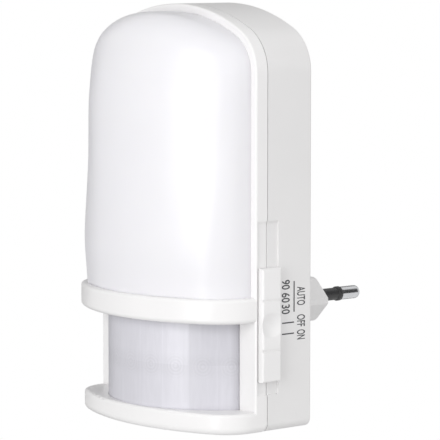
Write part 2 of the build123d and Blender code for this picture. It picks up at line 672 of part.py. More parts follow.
# ---- diffuser: opal dome with a flange behind the rim ----
with BuildPart() as diffuser:
    add(diffuser_dome(0, DIFFUSER_FOOT, FLANGE_BACK))
    with BuildSketch(facing(FLANGE_BACK)):
        add(arch(RECESS_WALL + SEAT_CLEARANCE, DIFFUSER_FOOT))
    extrude(amount=FLANGE_THICKNESS)
    hollow = diffuser_dome(DIFFUSER_WALL, DIFFUSER_FOOT - DIFFUSER_WALL, FLANGE_BACK - FLANGE_THICKNESS)
    add(hollow, mode=Mode.SUBTRACT)
diffuser.part.label = "diffuser"

# ---- lens: thin curved sheet with straight tabs behind its ends ----
LENS_LOW = LIP_HEIGHT - LENS_GROOVE + LENS_CLEARANCE
LENS_HIGH = BROW_HEIGHT + LENS_GROOVE - LENS_CLEARANCE
LENS_HALF = WINDOW_HALF - LENS_CLEARANCE
with BuildPart() as sensor_lens:
    with BuildSketch(level(LENS_LOW)):
        with Locations((0, -LENS_CENTRE)):
            Circle(LENS_R)
            Circle(LENS_R - LENS_THICKNESS, mode=Mode.SUBTRACT)
        with Locations((0, -(FRONT + LENS_R))):
            Rectangle(2 * LENS_HALF, 2 * LENS_R, mode=Mode.INTERSECT)
    extrude(amount=LENS_HIGH - LENS_LOW)
    for side in (-1, 1):
        block(
            (side * (LENS_HALF - LENS_THICKNESS), side * LENS_HALF),
            (FRONT - LENS_TAB, FRONT + LENS_THICKNESS),
            (LIP_HEIGHT + LENS_CLEARANCE, BROW_HEIGHT - LENS_CLEARANCE),
        )
sensor_lens.part.label = "sensor_lens"

# ---- retainers: two angle strips that hold the lens tabs against the pillars ----
RETAINER_LOW = HOUSING_SCREW_HEIGHT + FRONT_BOSS_R + SEAT_CLEARANCE
RETAINER_HIGH = BROW_HEIGHT - SEAT_CLEARANCE
RETAINER_OUTER_X = LENS_HALF - LENS_THICKNESS - SEAT_CLEARANCE
RETAINER_FRONT = FRONT - FACE_WALL
with BuildPart() as lens_retainers:
    for side in (-1, 1):
        block(
            (side * (RETAINER_OUTER_X - RETAINER_BAR), side * RETAINER_OUTER_X),
            (RETAINER_FRONT - RETAINER_FLANGE, RETAINER_FRONT - RETAINER_FLANGE + RETAINER_DEPTH),
            (RETAINER_LOW, RETAINER_HIGH),
        )
        block(
            (side * (RETAINER_OUTER_X - RETAINER_BAR / 2), side * (WINDOW_HALF + RETAINER_BAR)),
            (RETAINER_FRONT - RETAINER_FLANGE, RETAINER_FRONT),
            (RETAINER_LOW, RETAINER_HIGH),
        )
lens_retainers.part.label = "lens_retainers"

# ---- slider knob: finger bar outside, hook and fork inside ----
KNOB_SPAN = (SWITCH_HEIGHT - KNOB_LENGTH / 2, SWITCH_HEIGHT + KNOB_LENGTH / 2)
KNOB_DEPTHS = (PART_LINE - KNOB_WIDTH / 2, PART_LINE + KNOB_WIDTH / 2)
KNOB_OUTER_X = KNOB_INNER_X + KNOB_THICKNESS
POST_DEPTHS = (PART_LINE - POST_THICKNESS / 2, PART_LINE + POST_THICKNESS / 2)
POST_HEIGHTS = (SWITCH_HEIGHT - POST_TALL / 2, SWITCH_HEIGHT + POST_TALL / 2)
DIMPLE_R = ((KNOB_DIMPLE_D / 2) ** 2 + KNOB_DIMPLE_DEPTH**2) / (2 * KNOB_DIMPLE_DEPTH)
with BuildPart() as slider_knob:
    block((KNOB_INNER_X, KNOB_OUTER_X), KNOB_DEPTHS, KNOB_SPAN)
    fillet(slider_knob.faces().sort_by(Axis.X)[-1].edges(), KNOB_EDGE_R)
    for side in (-1, 1):
        groove_height = SWITCH_HEIGHT + side * KNOB_GROOVE_OFFSET
        block(
            (KNOB_OUTER_X - KNOB_GROOVE_DEPTH, KNOB_OUTER_X + 1),
            (KNOB_DEPTHS[0] - 1, KNOB_DEPTHS[1] + 1),
            (groove_height - KNOB_GROOVE_WIDTH / 2, groove_height + KNOB_GROOVE_WIDTH / 2),
            Mode.SUBTRACT,
        )
    with Locations((KNOB_OUTER_X - KNOB_DIMPLE_DEPTH + DIMPLE_R, -PART_LINE, z_at(SWITCH_HEIGHT))):
        Sphere(DIMPLE_R, mode=Mode.SUBTRACT)
    block((FORK_INNER_X, KNOB_INNER_X + 0.5), POST_DEPTHS, POST_HEIGHTS)
    block((HOOK_INNER_X, HOOK_OUTER_X), (POST_DEPTHS[0] - HOOK_REACH, POST_DEPTHS[1]), POST_HEIGHTS)
    block(
        (FORK_INNER_X - 1, FORK_INNER_X + POST_FORK_LENGTH),
        (POST_DEPTHS[0] - 1, POST_DEPTHS[1] + 1),
        (
            SWITCH_HEIGHT - ACTUATOR_TALL / 2 - SEAT_CLEARANCE,
            SWITCH_HEIGHT + ACTUATOR_TALL / 2 + SEAT_CLEARANCE,
        ),
        Mode.SUBTRACT,
    )
slider_knob.part.label = "slider_knob"

# ---- slide switch: shell, lever that the knob carries, base board and terminals ----
CASE_DEPTHS = (BOARD_FRONT, BOARD_FRONT + SWITCH_CASE_THICKNESS)
CASE_BASE_X = CASE_INNER_X + SWITCH_BASE
ACTUATOR_DEPTHS = (PART_LINE - ACTUATOR_THICKNESS / 2, PART_LINE + ACTUATOR_THICKNESS / 2)
ACTUATOR_TIP_X = FORK_INNER_X + POST_FORK_LENGTH - SEAT_CLEARANCE
LEVER_SLOT = ACTUATOR_TALL / 2 + SEAT_CLEARANCE
with BuildPart() as switch_shell:
    block((CASE_BASE_X, CASE_OUTER_X), CASE_DEPTHS, (CASE_LOW, CASE_HIGH))
    block(
        (CASE_BASE_X - 1, CASE_OUTER_X - SWITCH_SHELL),
        (CASE_DEPTHS[0] + SWITCH_SHELL, CASE_DEPTHS[1] - SWITCH_SHELL),
        (CASE_LOW + SWITCH_SHELL, CASE_HIGH - SWITCH_SHELL),
        Mode.SUBTRACT,
    )
    block(
        (CASE_OUTER_X - LEVER_WINDOW_DEPTH, CASE_OUTER_X + 1),
        (ACTUATOR_DEPTHS[0] - SEAT_CLEARANCE, ACTUATOR_DEPTHS[1] + SEAT_CLEARANCE),
        (SWITCH_HEIGHT - TRAVEL_DOWN - LEVER_SLOT, SWITCH_HEIGHT + TRAVEL_UP + LEVER_SLOT),
        Mode.SUBTRACT,
    )
switch_shell.part.label = "switch_shell"

with BuildPart() as switch_base:
    block((CASE_INNER_X, CASE_BASE_X), CASE_DEPTHS, (CASE_LOW, CASE_HIGH))
switch_base.part.label = "switch_base"

with BuildPart() as switch_lever:
    block(
        (CASE_BASE_X + SEAT_CLEARANCE, CASE_OUTER_X - SWITCH_SHELL - SEAT_CLEARANCE),
        (CASE_DEPTHS[0] + SWITCH_SHELL + SEAT_CLEARANCE, CASE_DEPTHS[1] - SWITCH_SHELL - SEAT_CLEARANCE),
        (SWITCH_HEIGHT - CARRIAGE_HALF, SWITCH_HEIGHT + CARRIAGE_HALF),
    )
    block(
        (CASE_BASE_X + 1, ACTUATOR_TIP_X),
        ACTUATOR_DEPTHS,
        (SWITCH_HEIGHT - ACTUATOR_TALL / 2, SWITCH_HEIGHT + ACTUATOR_TALL / 2),
    )
switch_lever.part.label = "switch_lever"

with BuildPart() as switch_terminals:
    for step in range(-STEPS_DOWN, STEPS_UP + 1):
        height = SWITCH_HEIGHT + step * SWITCH_PITCH
        block(
            (CASE_INNER_X - TERMINAL_REACH, CASE_INNER_X),
            (BOARD_FRONT, BOARD_FRONT + SWITCH_CASE_THICKNESS / 2),
            (height - TERMINAL_WIDTH / 2, height + TERMINAL_WIDTH / 2),
        )
switch_terminals.part.label = "switch_terminals"

# ---- main board and what stands on it ----
with BuildPart() as main_board:
    block((-BOARD_HALF_WIDTH, BOARD_HALF_WIDTH), (BOARD_BACK, BOARD_FRONT), (BOARD_LOW, BOARD_HIGH))
    for screw_x, screw_height in BOARD_SCREWS:
        hole = (BOARD_BACK - 1, BOARD_FRONT + 1)
        rod(screw_x, screw_height, hole, SMALL_SCREW_D / 2 + HOLE_CLEARANCE, Mode.SUBTRACT)
main_board.part.label = "main_board"

with BuildPart() as board_screws:
    for screw_x, screw_height in BOARD_SCREWS:
        screw(
            screw_x, screw_height, BOARD_FRONT, -1,
            SMALL_SCREW_D / 2, SMALL_SCREW_LENGTH, SMALL_HEAD_D / 2, SMALL_HEAD_TALL,
        )
board_screws.part.label = "board_screws"

CAN_BACK = BOARD_FRONT + SENSOR_SPACER
CAN_FRONT = CAN_BACK + SENSOR_CAN_TALL
CAN_WINDOW = (
    (-SENSOR_WINDOW[0] / 2, SENSOR_WINDOW[0] / 2),
    (CAN_FRONT - SENSOR_CAN_WALL - SENSOR_WINDOW_THICKNESS, CAN_FRONT - SENSOR_CAN_WALL),
    (WINDOW_MIDDLE - SENSOR_WINDOW[1] / 2, WINDOW_MIDDLE + SENSOR_WINDOW[1] / 2),
)
with BuildPart() as sensor_spacer:
    rod(0, WINDOW_MIDDLE, (BOARD_FRONT, CAN_BACK), SENSOR_FLANGE_D / 2)
sensor_spacer.part.label = "sensor_spacer"

with BuildPart() as sensor_can:
    rod(0, WINDOW_MIDDLE, (CAN_BACK, CAN_BACK + SENSOR_FLANGE_TALL), SENSOR_FLANGE_D / 2)
    rod(0, WINDOW_MIDDLE, (CAN_BACK, CAN_FRONT), SENSOR_CAN_D / 2)
    fillet(sensor_can.edges().group_by(Axis.Y)[0], 0.5)
    inner = (CAN_BACK + SENSOR_FLANGE_TALL, CAN_FRONT - SENSOR_CAN_WALL)
    rod(0, WINDOW_MIDDLE, inner, SENSOR_CAN_D / 2 - SENSOR_CAN_WALL, Mode.SUBTRACT)
    block(
        (CAN_WINDOW[0][0] + 0.3, CAN_WINDOW[0][1] - 0.3),
        (CAN_FRONT - 1, CAN_FRONT + 1),
        (CAN_WINDOW[2][0] + 0.3, CAN_WINDOW[2][1] - 0.3),
        Mode.SUBTRACT,
    )
sensor_can.part.label = "sensor_can"

with BuildPart() as sensor_filter:
    block(*CAN_WINDOW)
sensor_filter.part.label = "sensor_filter"

with BuildPart() as sensor_leads:
    for angle in (90, 210, 330):
        lead_x = SENSOR_LEAD_CIRCLE_D / 2 * cos(radians(angle))
        lead_height = WINDOW_MIDDLE + SENSOR_LEAD_CIRCLE_D / 2 * sin(radians(angle))
        rod(lead_x, lead_height, (BOARD_BACK - LEAD_STUB, BOARD_BACK), SENSOR_LEAD_D / 2)
sensor_leads.part.label = "sensor_leads"

PHOTOCELL_BACK = BOARD_FRONT + PHOTOCELL_STANDOFF
with BuildPart() as photocell:
    rod(PHOTOCELL_X, PHOTOCELL_HEIGHT, (PHOTOCELL_BACK, PHOTOCELL_BACK + PHOTOCELL_TALL), PHOTOCELL_D / 2)
    for side in (-1, 1):
        lead_x = PHOTOCELL_X + side * PHOTOCELL_LEAD_SPACING / 2
        rod(lead_x, PHOTOCELL_HEIGHT, (BOARD_FRONT, PHOTOCELL_BACK), SENSOR_LEAD_D / 2)
photocell.part.label = "photocell"

with BuildPart() as film_capacitor:
    block(
        (-FILM_CAP_SIZE[0] / 2, FILM_CAP_SIZE[0] / 2),
        (BOARD_BACK - FILM_CAP_SIZE[1], BOARD_BACK),
        (FILM_CAP_HEIGHT - FILM_CAP_SIZE[2] / 2, FILM_CAP_HEIGHT + FILM_CAP_SIZE[2] / 2),
    )
    fillet(film_capacitor.edges().filter_by(Axis.Y), 0.6)
film_capacitor.part.label = "film_capacitor"

with BuildPart() as electrolytic_capacitors:
    for can_x in ELECTROLYTIC_X:
        rod(can_x, ELECTROLYTIC_HEIGHT, (BOARD_BACK - ELECTROLYTIC_TALL, BOARD_BACK), ELECTROLYTIC_D / 2)
    fillet(electrolytic_capacitors.edges().group_by(Axis.Y)[-1], 0.5)
electrolytic_capacitors.part.label = "electrolytic_capacitors"

with BuildPart() as bridge_rectifier:
    block(
        (-RECTIFIER_SIZE[0] / 2, RECTIFIER_SIZE[0] / 2),
        (BOARD_BACK - RECTIFIER_SIZE[1], BOARD_BACK),
        (RECTIFIER_HEIGHT - RECTIFIER_SIZE[2] / 2, RECTIFIER_HEIGHT + RECTIFIER_SIZE[2] / 2),
    )
bridge_rectifier.part.label = "bridge_rectifier"

with BuildPart() as fuse_resistor:
    fuse_axis = BOARD_BACK - FUSE_RESISTOR_D / 2 - 0.3
    with Locations((FUSE_RESISTOR_X, -fuse_axis, z_at(FUSE_RESISTOR_HEIGHT))):
        Cylinder(FUSE_RESISTOR_D / 2, FUSE_RESISTOR_LENGTH)
    fillet(fuse_resistor.edges(), 0.4)
    for side in (-1, 1):
        wire_height = FUSE_RESISTOR_HEIGHT + side * (FUSE_RESISTOR_LENGTH / 2 + 1.0)
        inner_height = FUSE_RESISTOR_HEIGHT + side * (FUSE_RESISTOR_LENGTH / 2 - 0.5)
        block(
            (FUSE_RESISTOR_X - SENSOR_LEAD_D / 2, FUSE_RESISTOR_X + SENSOR_LEAD_D / 2),
            (fuse_axis - SENSOR_LEAD_D / 2, fuse_axis + SENSOR_LEAD_D / 2),
            (inner_height, wire_height),
        )
        block(
            (FUSE_RESISTOR_X - SENSOR_LEAD_D / 2, FUSE_RESISTOR_X + SENSOR_LEAD_D / 2),
            (fuse_axis - SENSOR_LEAD_D / 2, BOARD_BACK),
            (wire_height - SENSOR_LEAD_D / 2, wire_height + SENSOR_LEAD_D / 2),
        )
fuse_resistor.part.label = "fuse_resistor"

with BuildPart() as control_chip:
    leg_wide, leg_out, leg_up = CHIP_LEG
    chip_low = BOARD_FRONT + 0.2
    block(
        (CHIP_X - CHIP_SIZE[0] / 2, CHIP_X + CHIP_SIZE[0] / 2),
        (chip_low, chip_low + CHIP_SIZE[1]),
        (CHIP_HEIGHT - CHIP_SIZE[2] / 2, CHIP_HEIGHT + CHIP_SIZE[2] / 2),
    )
    for leg in range(CHIP_LEGS):
        leg_x = CHIP_X + (leg - (CHIP_LEGS - 1) / 2) * CHIP_LEG_PITCH
        block(
            (leg_x - leg_wide / 2, leg_x + leg_wide / 2),
            (BOARD_FRONT, BOARD_FRONT + leg_up),
            (CHIP_HEIGHT - CHIP_SIZE[2] / 2 - leg_out, CHIP_HEIGHT + CHIP_SIZE[2] / 2 + leg_out),
        )
control_chip.part.label = "control_chip"

with BuildPart() as chip_resistors:
    for index in range(RESISTOR_COUNT):
        resistor_x = RESISTOR_ROW_X + (index - (RESISTOR_COUNT - 1) / 2) * RESISTOR_PITCH
        block(
            (resistor_x - RESISTOR_SIZE[2] / 2, resistor_x + RESISTOR_SIZE[2] / 2),
            (BOARD_FRONT, BOARD_FRONT + RESISTOR_SIZE[1]),
            (RESISTOR_ROW_HEIGHT - RESISTOR_SIZE[0] / 2, RESISTOR_ROW_HEIGHT + RESISTOR_SIZE[0] / 2),
        )
chip_resistors.part.label = "chip_resistors"

# ---- light chamber: white tray, board and light-emitting diodes ----
LINK_X = (-LINK_PITCH / 2, LINK_PITCH / 2)
with BuildPart() as reflector_tray:
    with BuildSketch(facing(TRAY_BACK)):
        add(arch(DIFFUSER_GAP + DIFFUSER_WALL + SLOT_CLEARANCE, DIFFUSER_FOOT))
    extrude(amount=TRAY_THICKNESS)
    for screw_x, screw_height in LED_SCREWS:
        hole = (TRAY_BACK - 1, LED_BOARD_BACK + 1)
        rod(screw_x, screw_height, hole, SMALL_SCREW_D / 2 + HOLE_CLEARANCE, Mode.SUBTRACT)
    block(
        (LINK_X[0] - LINK_PITCH, LINK_X[1] + LINK_PITCH),
        (TRAY_BACK - 1, LED_BOARD_BACK + 1),
        (LINK_HEIGHT - LINK_PITCH / 2 - HOLE_CLEARANCE, LINK_HEIGHT + LINK_PITCH / 2 + HOLE_CLEARANCE),
        Mode.SUBTRACT,
    )
reflector_tray.part.label = "reflector_tray"

with BuildPart() as led_board:
    block(
        (-LED_BOARD_HALF_WIDTH, LED_BOARD_HALF_WIDTH),
        (LED_BOARD_BACK, LED_BOARD_FRONT),
        (LED_BOARD_LOW, LED_BOARD_HIGH),
    )
    fillet(led_board.edges().filter_by(Axis.Y), LED_BOARD_CORNER_R)
    for screw_x, screw_height in LED_SCREWS:
        hole = (LED_BOARD_BACK - 1, LED_BOARD_FRONT + 1)
        rod(screw_x, screw_height, hole, SMALL_SCREW_D / 2 + HOLE_CLEARANCE, Mode.SUBTRACT)
    for pin_x in LINK_X:
        block(
            (pin_x - LINK_PIN / 2 - PRESS_CLEARANCE, pin_x + LINK_PIN / 2 + PRESS_CLEARANCE),
            (LED_BOARD_BACK - 1, LED_BOARD_FRONT + 1),
            (LINK_HEIGHT - LINK_PIN / 2 - PRESS_CLEARANCE, LINK_HEIGHT + LINK_PIN / 2 + PRESS_CLEARANCE),
            Mode.SUBTRACT,
        )
led_board.part.label = "led_board"

with BuildPart() as led_chips:
    led_middle = (LED_BOARD_LOW + LED_BOARD_HIGH) / 2 + LED_ROWS_RAISED
    for column in range(LED_COLUMNS):
        for row in range(LED_ROWS):
            led_x = (column - (LED_COLUMNS - 1) / 2) * LED_PITCH_X
            led_height = led_middle + (row - (LED_ROWS - 1) / 2) * LED_PITCH_Z
            block(
                (led_x - LED_LENGTH / 2, led_x + LED_LENGTH / 2),
                (LED_BOARD_FRONT, LED_BOARD_FRONT + LED_THICKNESS),
                (led_height - LED_WIDTH / 2, led_height + LED_WIDTH / 2),
            )
led_chips.part.label = "led_chips"

with BuildPart() as led_screws:
    for screw_x, screw_height in LED_SCREWS:
        screw(
            screw_x, screw_height, LED_BOARD_FRONT, -1,
            SMALL_SCREW_D / 2, LED_SCREW_LENGTH, SMALL_HEAD_D / 2, SMALL_HEAD_TALL,
        )
led_screws.part.label = "led_screws"

with BuildPart() as link_header:
    block(
        (LINK_X[0] - LINK_PITCH / 2, LINK_X[1] + LINK_PITCH / 2),
        (BOARD_FRONT, LED_BOARD_BACK),
        (LINK_HEIGHT - LINK_PITCH / 2, LINK_HEIGHT + LINK_PITCH / 2),
    )
link_header.part.label = "link_header"

with BuildPart() as link_pins:
    for pin_x in LINK_X:
        block(
            (pin_x - LINK_PIN / 2, pin_x + LINK_PIN / 2),
            (LED_BOARD_BACK, LED_BOARD_FRONT + LEAD_STUB),
            (LINK_HEIGHT - LINK_PIN / 2, LINK_HEIGHT + LINK_PIN / 2),
        )
link_pins.part.label = "link_pins"

# ---- plug: pins, sleeves, carrier and leads ----
SLEEVE_FRONT = PIN_LENGTH - PIN_METAL_LENGTH
with BuildPart() as contact_pins:
    for pin_x in PINS_X:
        rod(pin_x, PIN_HEIGHT, (-PIN_LENGTH, -SLEEVE_FRONT), PIN_D / 2)
    fillet(contact_pins.edges().group_by(Axis.Y)[-1], PIN_TIP_R)
    for pin_x in PINS_X:
        rod(pin_x, PIN_HEIGHT, (-SLEEVE_FRONT - 0.5, PIN_TAIL_DEPTH), PIN_CORE_D / 2)
contact_pins.part.label = "contact_pins"

with BuildPart() as pin_sleeves:
    for pin_x in PINS_X:
        rod(pin_x, PIN_HEIGHT, (-SLEEVE_FRONT, SLEEVE_INNER_DEPTH), SLEEVE_D / 2)
        rod(pin_x, PIN_HEIGHT, (-SLEEVE_FRONT, -SLEEVE_FRONT + SLEEVE_COLLAR_LENGTH), SLEEVE_COLLAR_D / 2)
        core = (-SLEEVE_FRONT - 1, SLEEVE_INNER_DEPTH + 1)
        rod(pin_x, PIN_HEIGHT, core, PIN_CORE_D / 2 + PRESS_CLEARANCE, Mode.SUBTRACT)
pin_sleeves.part.label = "pin_sleeves"

CARRIER_BACK = PLUG_END_WALL
CARRIER_FRONT = CARRIER_BACK + CARRIER_LENGTH
with BuildPart() as pin_carrier:
    with BuildSketch(facing(CARRIER_BACK)):
        add(plug_section(PLUG_WALL + SEAT_CLEARANCE))
    extrude(amount=CARRIER_LENGTH)
    for pin_x in PINS_X:
        sleeve_hole = (CARRIER_BACK - 1, SLEEVE_INNER_DEPTH + PRESS_CLEARANCE)
        rod(pin_x, PIN_HEIGHT, sleeve_hole, SLEEVE_D / 2 + PRESS_CLEARANCE, Mode.SUBTRACT)
        rod(pin_x, PIN_HEIGHT, (CARRIER_BACK, CARRIER_FRONT + 1), PIN_CORE_D / 2 + PRESS_CLEARANCE, Mode.SUBTRACT)
pin_carrier.part.label = "pin_carrier"

with BuildPart() as supply_leads:
    for side in (-1, 1):
        start = PIN_TAIL_DEPTH
        run = (BOARD_BACK - start) / 3
        near_x = side * PIN_SPACING / 2
        far_x = side * (PIN_SPACING / 2 - LEAD_SHIFT)
        points = [
            (near_x, -start, 0),
            (near_x, -(start + run), 0),
            (far_x, -(start + 2 * run), 0),
            (far_x, -BOARD_BACK, 0),
        ]
        turn = atan2(LEAD_SHIFT, run)
        with BuildLine() as route:
            FilletPolyline(*points, radius=LEAD_BEND_SHARE * run / tan(turn / 2))
        with BuildSketch(Plane(origin=points[0], z_dir=(0, -1, 0))):
            Circle(LEAD_D / 2)
        sweep(path=route.line)
supply_leads.part.label = "supply_leads"

# ---- housing screws, driven from the back ----
with BuildPart() as housing_screws:
    for screw_x, screw_height in HOUSING_SCREWS:
        screw(
            screw_x, screw_height, SCREW_SEAT, 1,
            SCREW_D / 2, SCREW_LENGTH, SCREW_HEAD_D / 2, SCREW_HEAD_TALL,
        )
housing_screws.part.label = "housing_screws"

PIECES = [
    rear_housing, front_frame, diffuser, sensor_lens, lens_retainers, slider_knob,
    switch_shell, switch_base, switch_lever, switch_terminals, main_board, board_screws,
    sensor_spacer, sensor_can, sensor_filter, sensor_leads, photocell, film_capacitor,
    electrolytic_capacitors, bridge_rectifier, fuse_resistor, control_chip, chip_resistors,
    reflector_tray, led_board, led_chips, led_screws, link_header, link_pins,
    contact_pins, pin_sleeves, pin_carrier, supply_leads, housing_screws,
]

os.makedirs("parts", exist_ok=True)
for piece in PIECES:
    export_step(piece.part, f"parts/{piece.part.label}.step")
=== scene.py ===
import math

import bmesh
import bpy
from mathutils import Matrix, Vector


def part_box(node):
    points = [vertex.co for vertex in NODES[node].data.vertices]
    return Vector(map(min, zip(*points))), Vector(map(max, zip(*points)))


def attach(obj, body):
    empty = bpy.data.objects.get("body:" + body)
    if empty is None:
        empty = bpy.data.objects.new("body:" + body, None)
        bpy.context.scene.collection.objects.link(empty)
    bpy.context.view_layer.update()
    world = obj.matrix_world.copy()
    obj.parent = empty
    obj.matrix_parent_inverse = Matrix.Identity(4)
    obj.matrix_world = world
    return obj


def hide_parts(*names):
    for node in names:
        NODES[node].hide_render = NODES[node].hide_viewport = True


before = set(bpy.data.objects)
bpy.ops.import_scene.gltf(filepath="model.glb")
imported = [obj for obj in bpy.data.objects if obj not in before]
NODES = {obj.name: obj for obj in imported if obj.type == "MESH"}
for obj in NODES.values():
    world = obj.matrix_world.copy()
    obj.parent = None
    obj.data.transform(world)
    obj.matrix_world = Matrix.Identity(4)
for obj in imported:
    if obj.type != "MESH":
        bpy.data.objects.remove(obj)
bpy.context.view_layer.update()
HOUSING = "housing"
SLIDER = "slider"
MM = 0.001

# ---- places read from the frame, metres; the dome's reach is measured from FRONT ----
FRAME_LOW, FRAME_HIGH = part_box("front_frame")
DIFFUSER_LOW, DIFFUSER_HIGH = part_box("diffuser")
KNOB_LOW, KNOB_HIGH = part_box("slider_knob")
LENS_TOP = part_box("sensor_lens")[1].z
BOTTOM = FRAME_LOW.z
TOP = FRAME_HIGH.z
HALF = FRAME_HIGH.x
FRONT = -44.8 * MM

# ---- front outline of the housing, metres ----
ARCH_CORNER_R = 14.0 * MM
ARCH_RISE = 19.2 * MM
SPRING = TOP - ARCH_RISE
CORNER_X = HALF - ARCH_CORNER_R
CROWN_R = (CORNER_X**2 + ARCH_RISE**2 - ARCH_CORNER_R**2) / (2 * (ARCH_RISE - ARCH_CORNER_R))
CROWN_CENTRE = TOP - CROWN_R
CROWN_ANGLE = math.atan2(CORNER_X, SPRING - CROWN_CENTRE)

# ---- diffuser dome, metres, and its grid; EASING is how often its face is smoothed ----
DOME_ROWS = 130
DOME_COLUMNS = 120
DOME_STRAIGHT_SHARE = 0.5
DOME_MERGE = 0.004 * MM
DOME_GAP = 2.2 * MM
DOME_FOOT = DIFFUSER_LOW.z
DOME_BACK = DIFFUSER_HIGH.y
DOME_REACH = 19.75 * MM
DOME_SWELL_START = BOTTOM + 39.5 * MM
DOME_SWELL = 1.7 * MM
DOME_SWELL_TALL = 16.0 * MM
DOME_TAPER = 3.4 * MM
DOME_TAPER_START = BOTTOM + 89.0 * MM
DOME_EDGE_R_LOW = 15.0 * MM
DOME_EDGE_R_HIGH = 10.0 * MM
DOME_EDGE_R_TALL = 45.0 * MM
DOME_WALL = 2.0 * MM
DOME_EASING = 30

# ---- sensor lens, metres and radians: segments round its axis, in two rows ----
LENS_AXIS_Y = -29.0 * MM
LENS_RADIUS = 32.5 * MM
LENS_COLUMNS = 9
LENS_COLUMN = math.radians(14.5)
LENS_COLUMN_START = math.radians(-66.5)
LENS_ROW_SPLIT = BOTTOM + 19.0 * MM
LENS_RING_HEIGHT = BOTTOM + 18.6 * MM
LENS_RING_STEP = 0.95 * MM
LENS_RING_REACH = 4.6 * MM
LENS_RING_CONTRAST = 0.03
LENS_RING_RELIEF = 0.025 * MM
LENS_BORDER_FROM = 0.48
LENS_BORDER_CONTRAST = 0.03
LENS_TOP_FADE = 5.0 * MM
LENS_STREAK_WIDTH = 1.1 * MM
LENS_STREAK_STRETCH = 0.14
LENS_STREAK_CONTRAST = 0.12
LENS_STEPS = (
    # name, operation, and its inputs: numbers or the names of earlier steps
    ("forward", "MULTIPLY_ADD", "y", -1.0, LENS_AXIS_Y),
    ("angle", "ARCTAN2", "x", "forward"),
    ("from_start", "SUBTRACT", "angle", LENS_COLUMN_START),
    ("columns", "DIVIDE", "from_start", LENS_COLUMN),
    ("share", "DIVIDE", "columns", LENS_COLUMNS),
    ("is_upper", "GREATER_THAN", "z", LENS_ROW_SPLIT),
    # rings round the middle of each segment, along the line between the two rows
    ("in_segment", "FRACT", "columns"),
    ("off_middle", "SUBTRACT", "in_segment", 0.5),
    ("across", "MULTIPLY", "off_middle", LENS_COLUMN * LENS_RADIUS),
    ("upwards", "SUBTRACT", "z", LENS_RING_HEIGHT),
    ("across_squared", "POWER", "across", 2.0),
    ("upwards_squared", "POWER", "upwards", 2.0),
    ("reach_squared", "ADD", "across_squared", "upwards_squared"),
    ("reach", "SQRT", "reach_squared"),
    ("turns", "MULTIPLY", "reach", math.tau / LENS_RING_STEP),
    ("wave", "SINE", "turns"),
    ("ring_share", "FADE", "reach", LENS_RING_STEP, LENS_RING_REACH, 1.0, 0.0),
    ("rings", "MULTIPLY", "wave", "ring_share"),
    ("ringed", "MULTIPLY_ADD", "rings", LENS_RING_CONTRAST, 1.0),
    # a thin light line between neighbouring segments, and a duller belt along the rings
    ("from_middle", "ABSOLUTE", "off_middle"),
    ("at_border", "GREATER_THAN", "from_middle", LENS_BORDER_FROM),
    ("bordered", "MULTIPLY_ADD", "at_border", LENS_BORDER_CONTRAST, 1.0),
    ("from_belt", "ABSOLUTE", "upwards"),
    ("belt", "FADE", "from_belt", 1.2 * MM, 4.2 * MM, 0.96, 1.0),
    # painted shade: the sheet darkens near the frame's sides and at its top edge
    ("turned_aside", "ABSOLUTE", "angle"),
    ("side_painted_shade", "FADE", "turned_aside", 0.96, 1.07, 1.0, 0.78),
    ("top_painted_shade", "FADE", "z", LENS_TOP - LENS_TOP_FADE, LENS_TOP, 1.0, 0.84),
    # upright streaks about 1 mm wide, where the sheet is thicker and thinner
    ("streaked", "MULTIPLY_ADD", "streaks", LENS_STREAK_CONTRAST, 1 - LENS_STREAK_CONTRAST / 2),
)
# layers multiplied onto the tone in turn; the side and top layers are painted shade
LENS_LAYERS = ("ringed", "bordered", "belt", "side_painted_shade", "top_painted_shade", "streaked")
LENS_UPPER_PAINTED_LIGHT = (
    # segments from the left, and tone of painted light and shade
    (0.0, "#C4C3CA"),
    (2.5, "#CBCAD1"),
    (3.5, "#CFCED5"),
    (4.5, "#D2D1D8"),
    (5.5, "#D7D6DD"),
    (6.4, "#DDDCE3"),
    (6.95, "#D8D7DE"),
    (7.02, "#CAC9D0"),
    (7.9, "#CECDD4"),
    (8.5, "#D0CFD6"),
)
LENS_LOWER_PAINTED_LIGHT = (
    (0.0, "#C4C3CA"),
    (2.5, "#CAC9D0"),
    (3.5, "#CECDD4"),
    (4.5, "#CFCED5"),
    (5.5, "#D4D3DA"),
    (6.4, "#D7D6DD"),
    (6.95, "#D4D3DA"),
    (7.02, "#CBCAD1"),
    (7.9, "#D2D1D8"),
    (8.5, "#D6D5DC"),
)

# ---- housing and knob, metres; the cap is the part of the knob outside the track's floor ----
MERGE_DISTANCE = 0.002 * MM
SHARP_ANGLE = math.radians(32)
TRACK_FLOOR_X = 35.1 * MM
KNOB_CAP_SPAN = (-43.7 * MM, -36.6 * MM)

# ---- sleeves on the pins ----
PIN_X = 9.5 * MM
SLEEVE_STEPS = 48
SLEEVE_PROFILE = (
    # mm along the pin and radius, outside then inside
    (-10.5, 1.8),
    (-0.5, 1.8),
    (0.5, 1.88),
    (9.75, 1.88),
    (9.95, 2.1),
    (10.2, 2.2),
    (11.15, 2.2),
    (11.35, 2.12),
    (11.4, 1.95),
    (11.4, 1.51),
    (-10.5, 1.51),
)

# ---- printed scale on the side: words with their middle height and length in mm ----
PRINT_LIFT = 0.03 * MM
PRINT_TALL = 3.1 * MM
PRINT_BOLD = 0.012
DIGIT_ROW = -33.5 * MM
WORD_ROW = -27.6 * MM
SCALE_DIGITS = (("90", 42.05, 2.75), ("60", 38.3, 2.75), ("30", 34.95, 2.75))
SCALE_WORDS = (("AUTO", 38.4, 5.4), ("OFF", 31.25, 3.5), ("ON", 27.2, 2.8))
TICK_HEIGHTS = (31.0, 27.8)
TICK_SPAN = (-34.9 * MM, -30.3 * MM)
TICK_LINE = 0.36 * MM
BRACKET_LINE = 0.42 * MM
BRACKET_DEPTH = -30.3 * MM
BRACKET_SPAN = (34.0, 42.9)

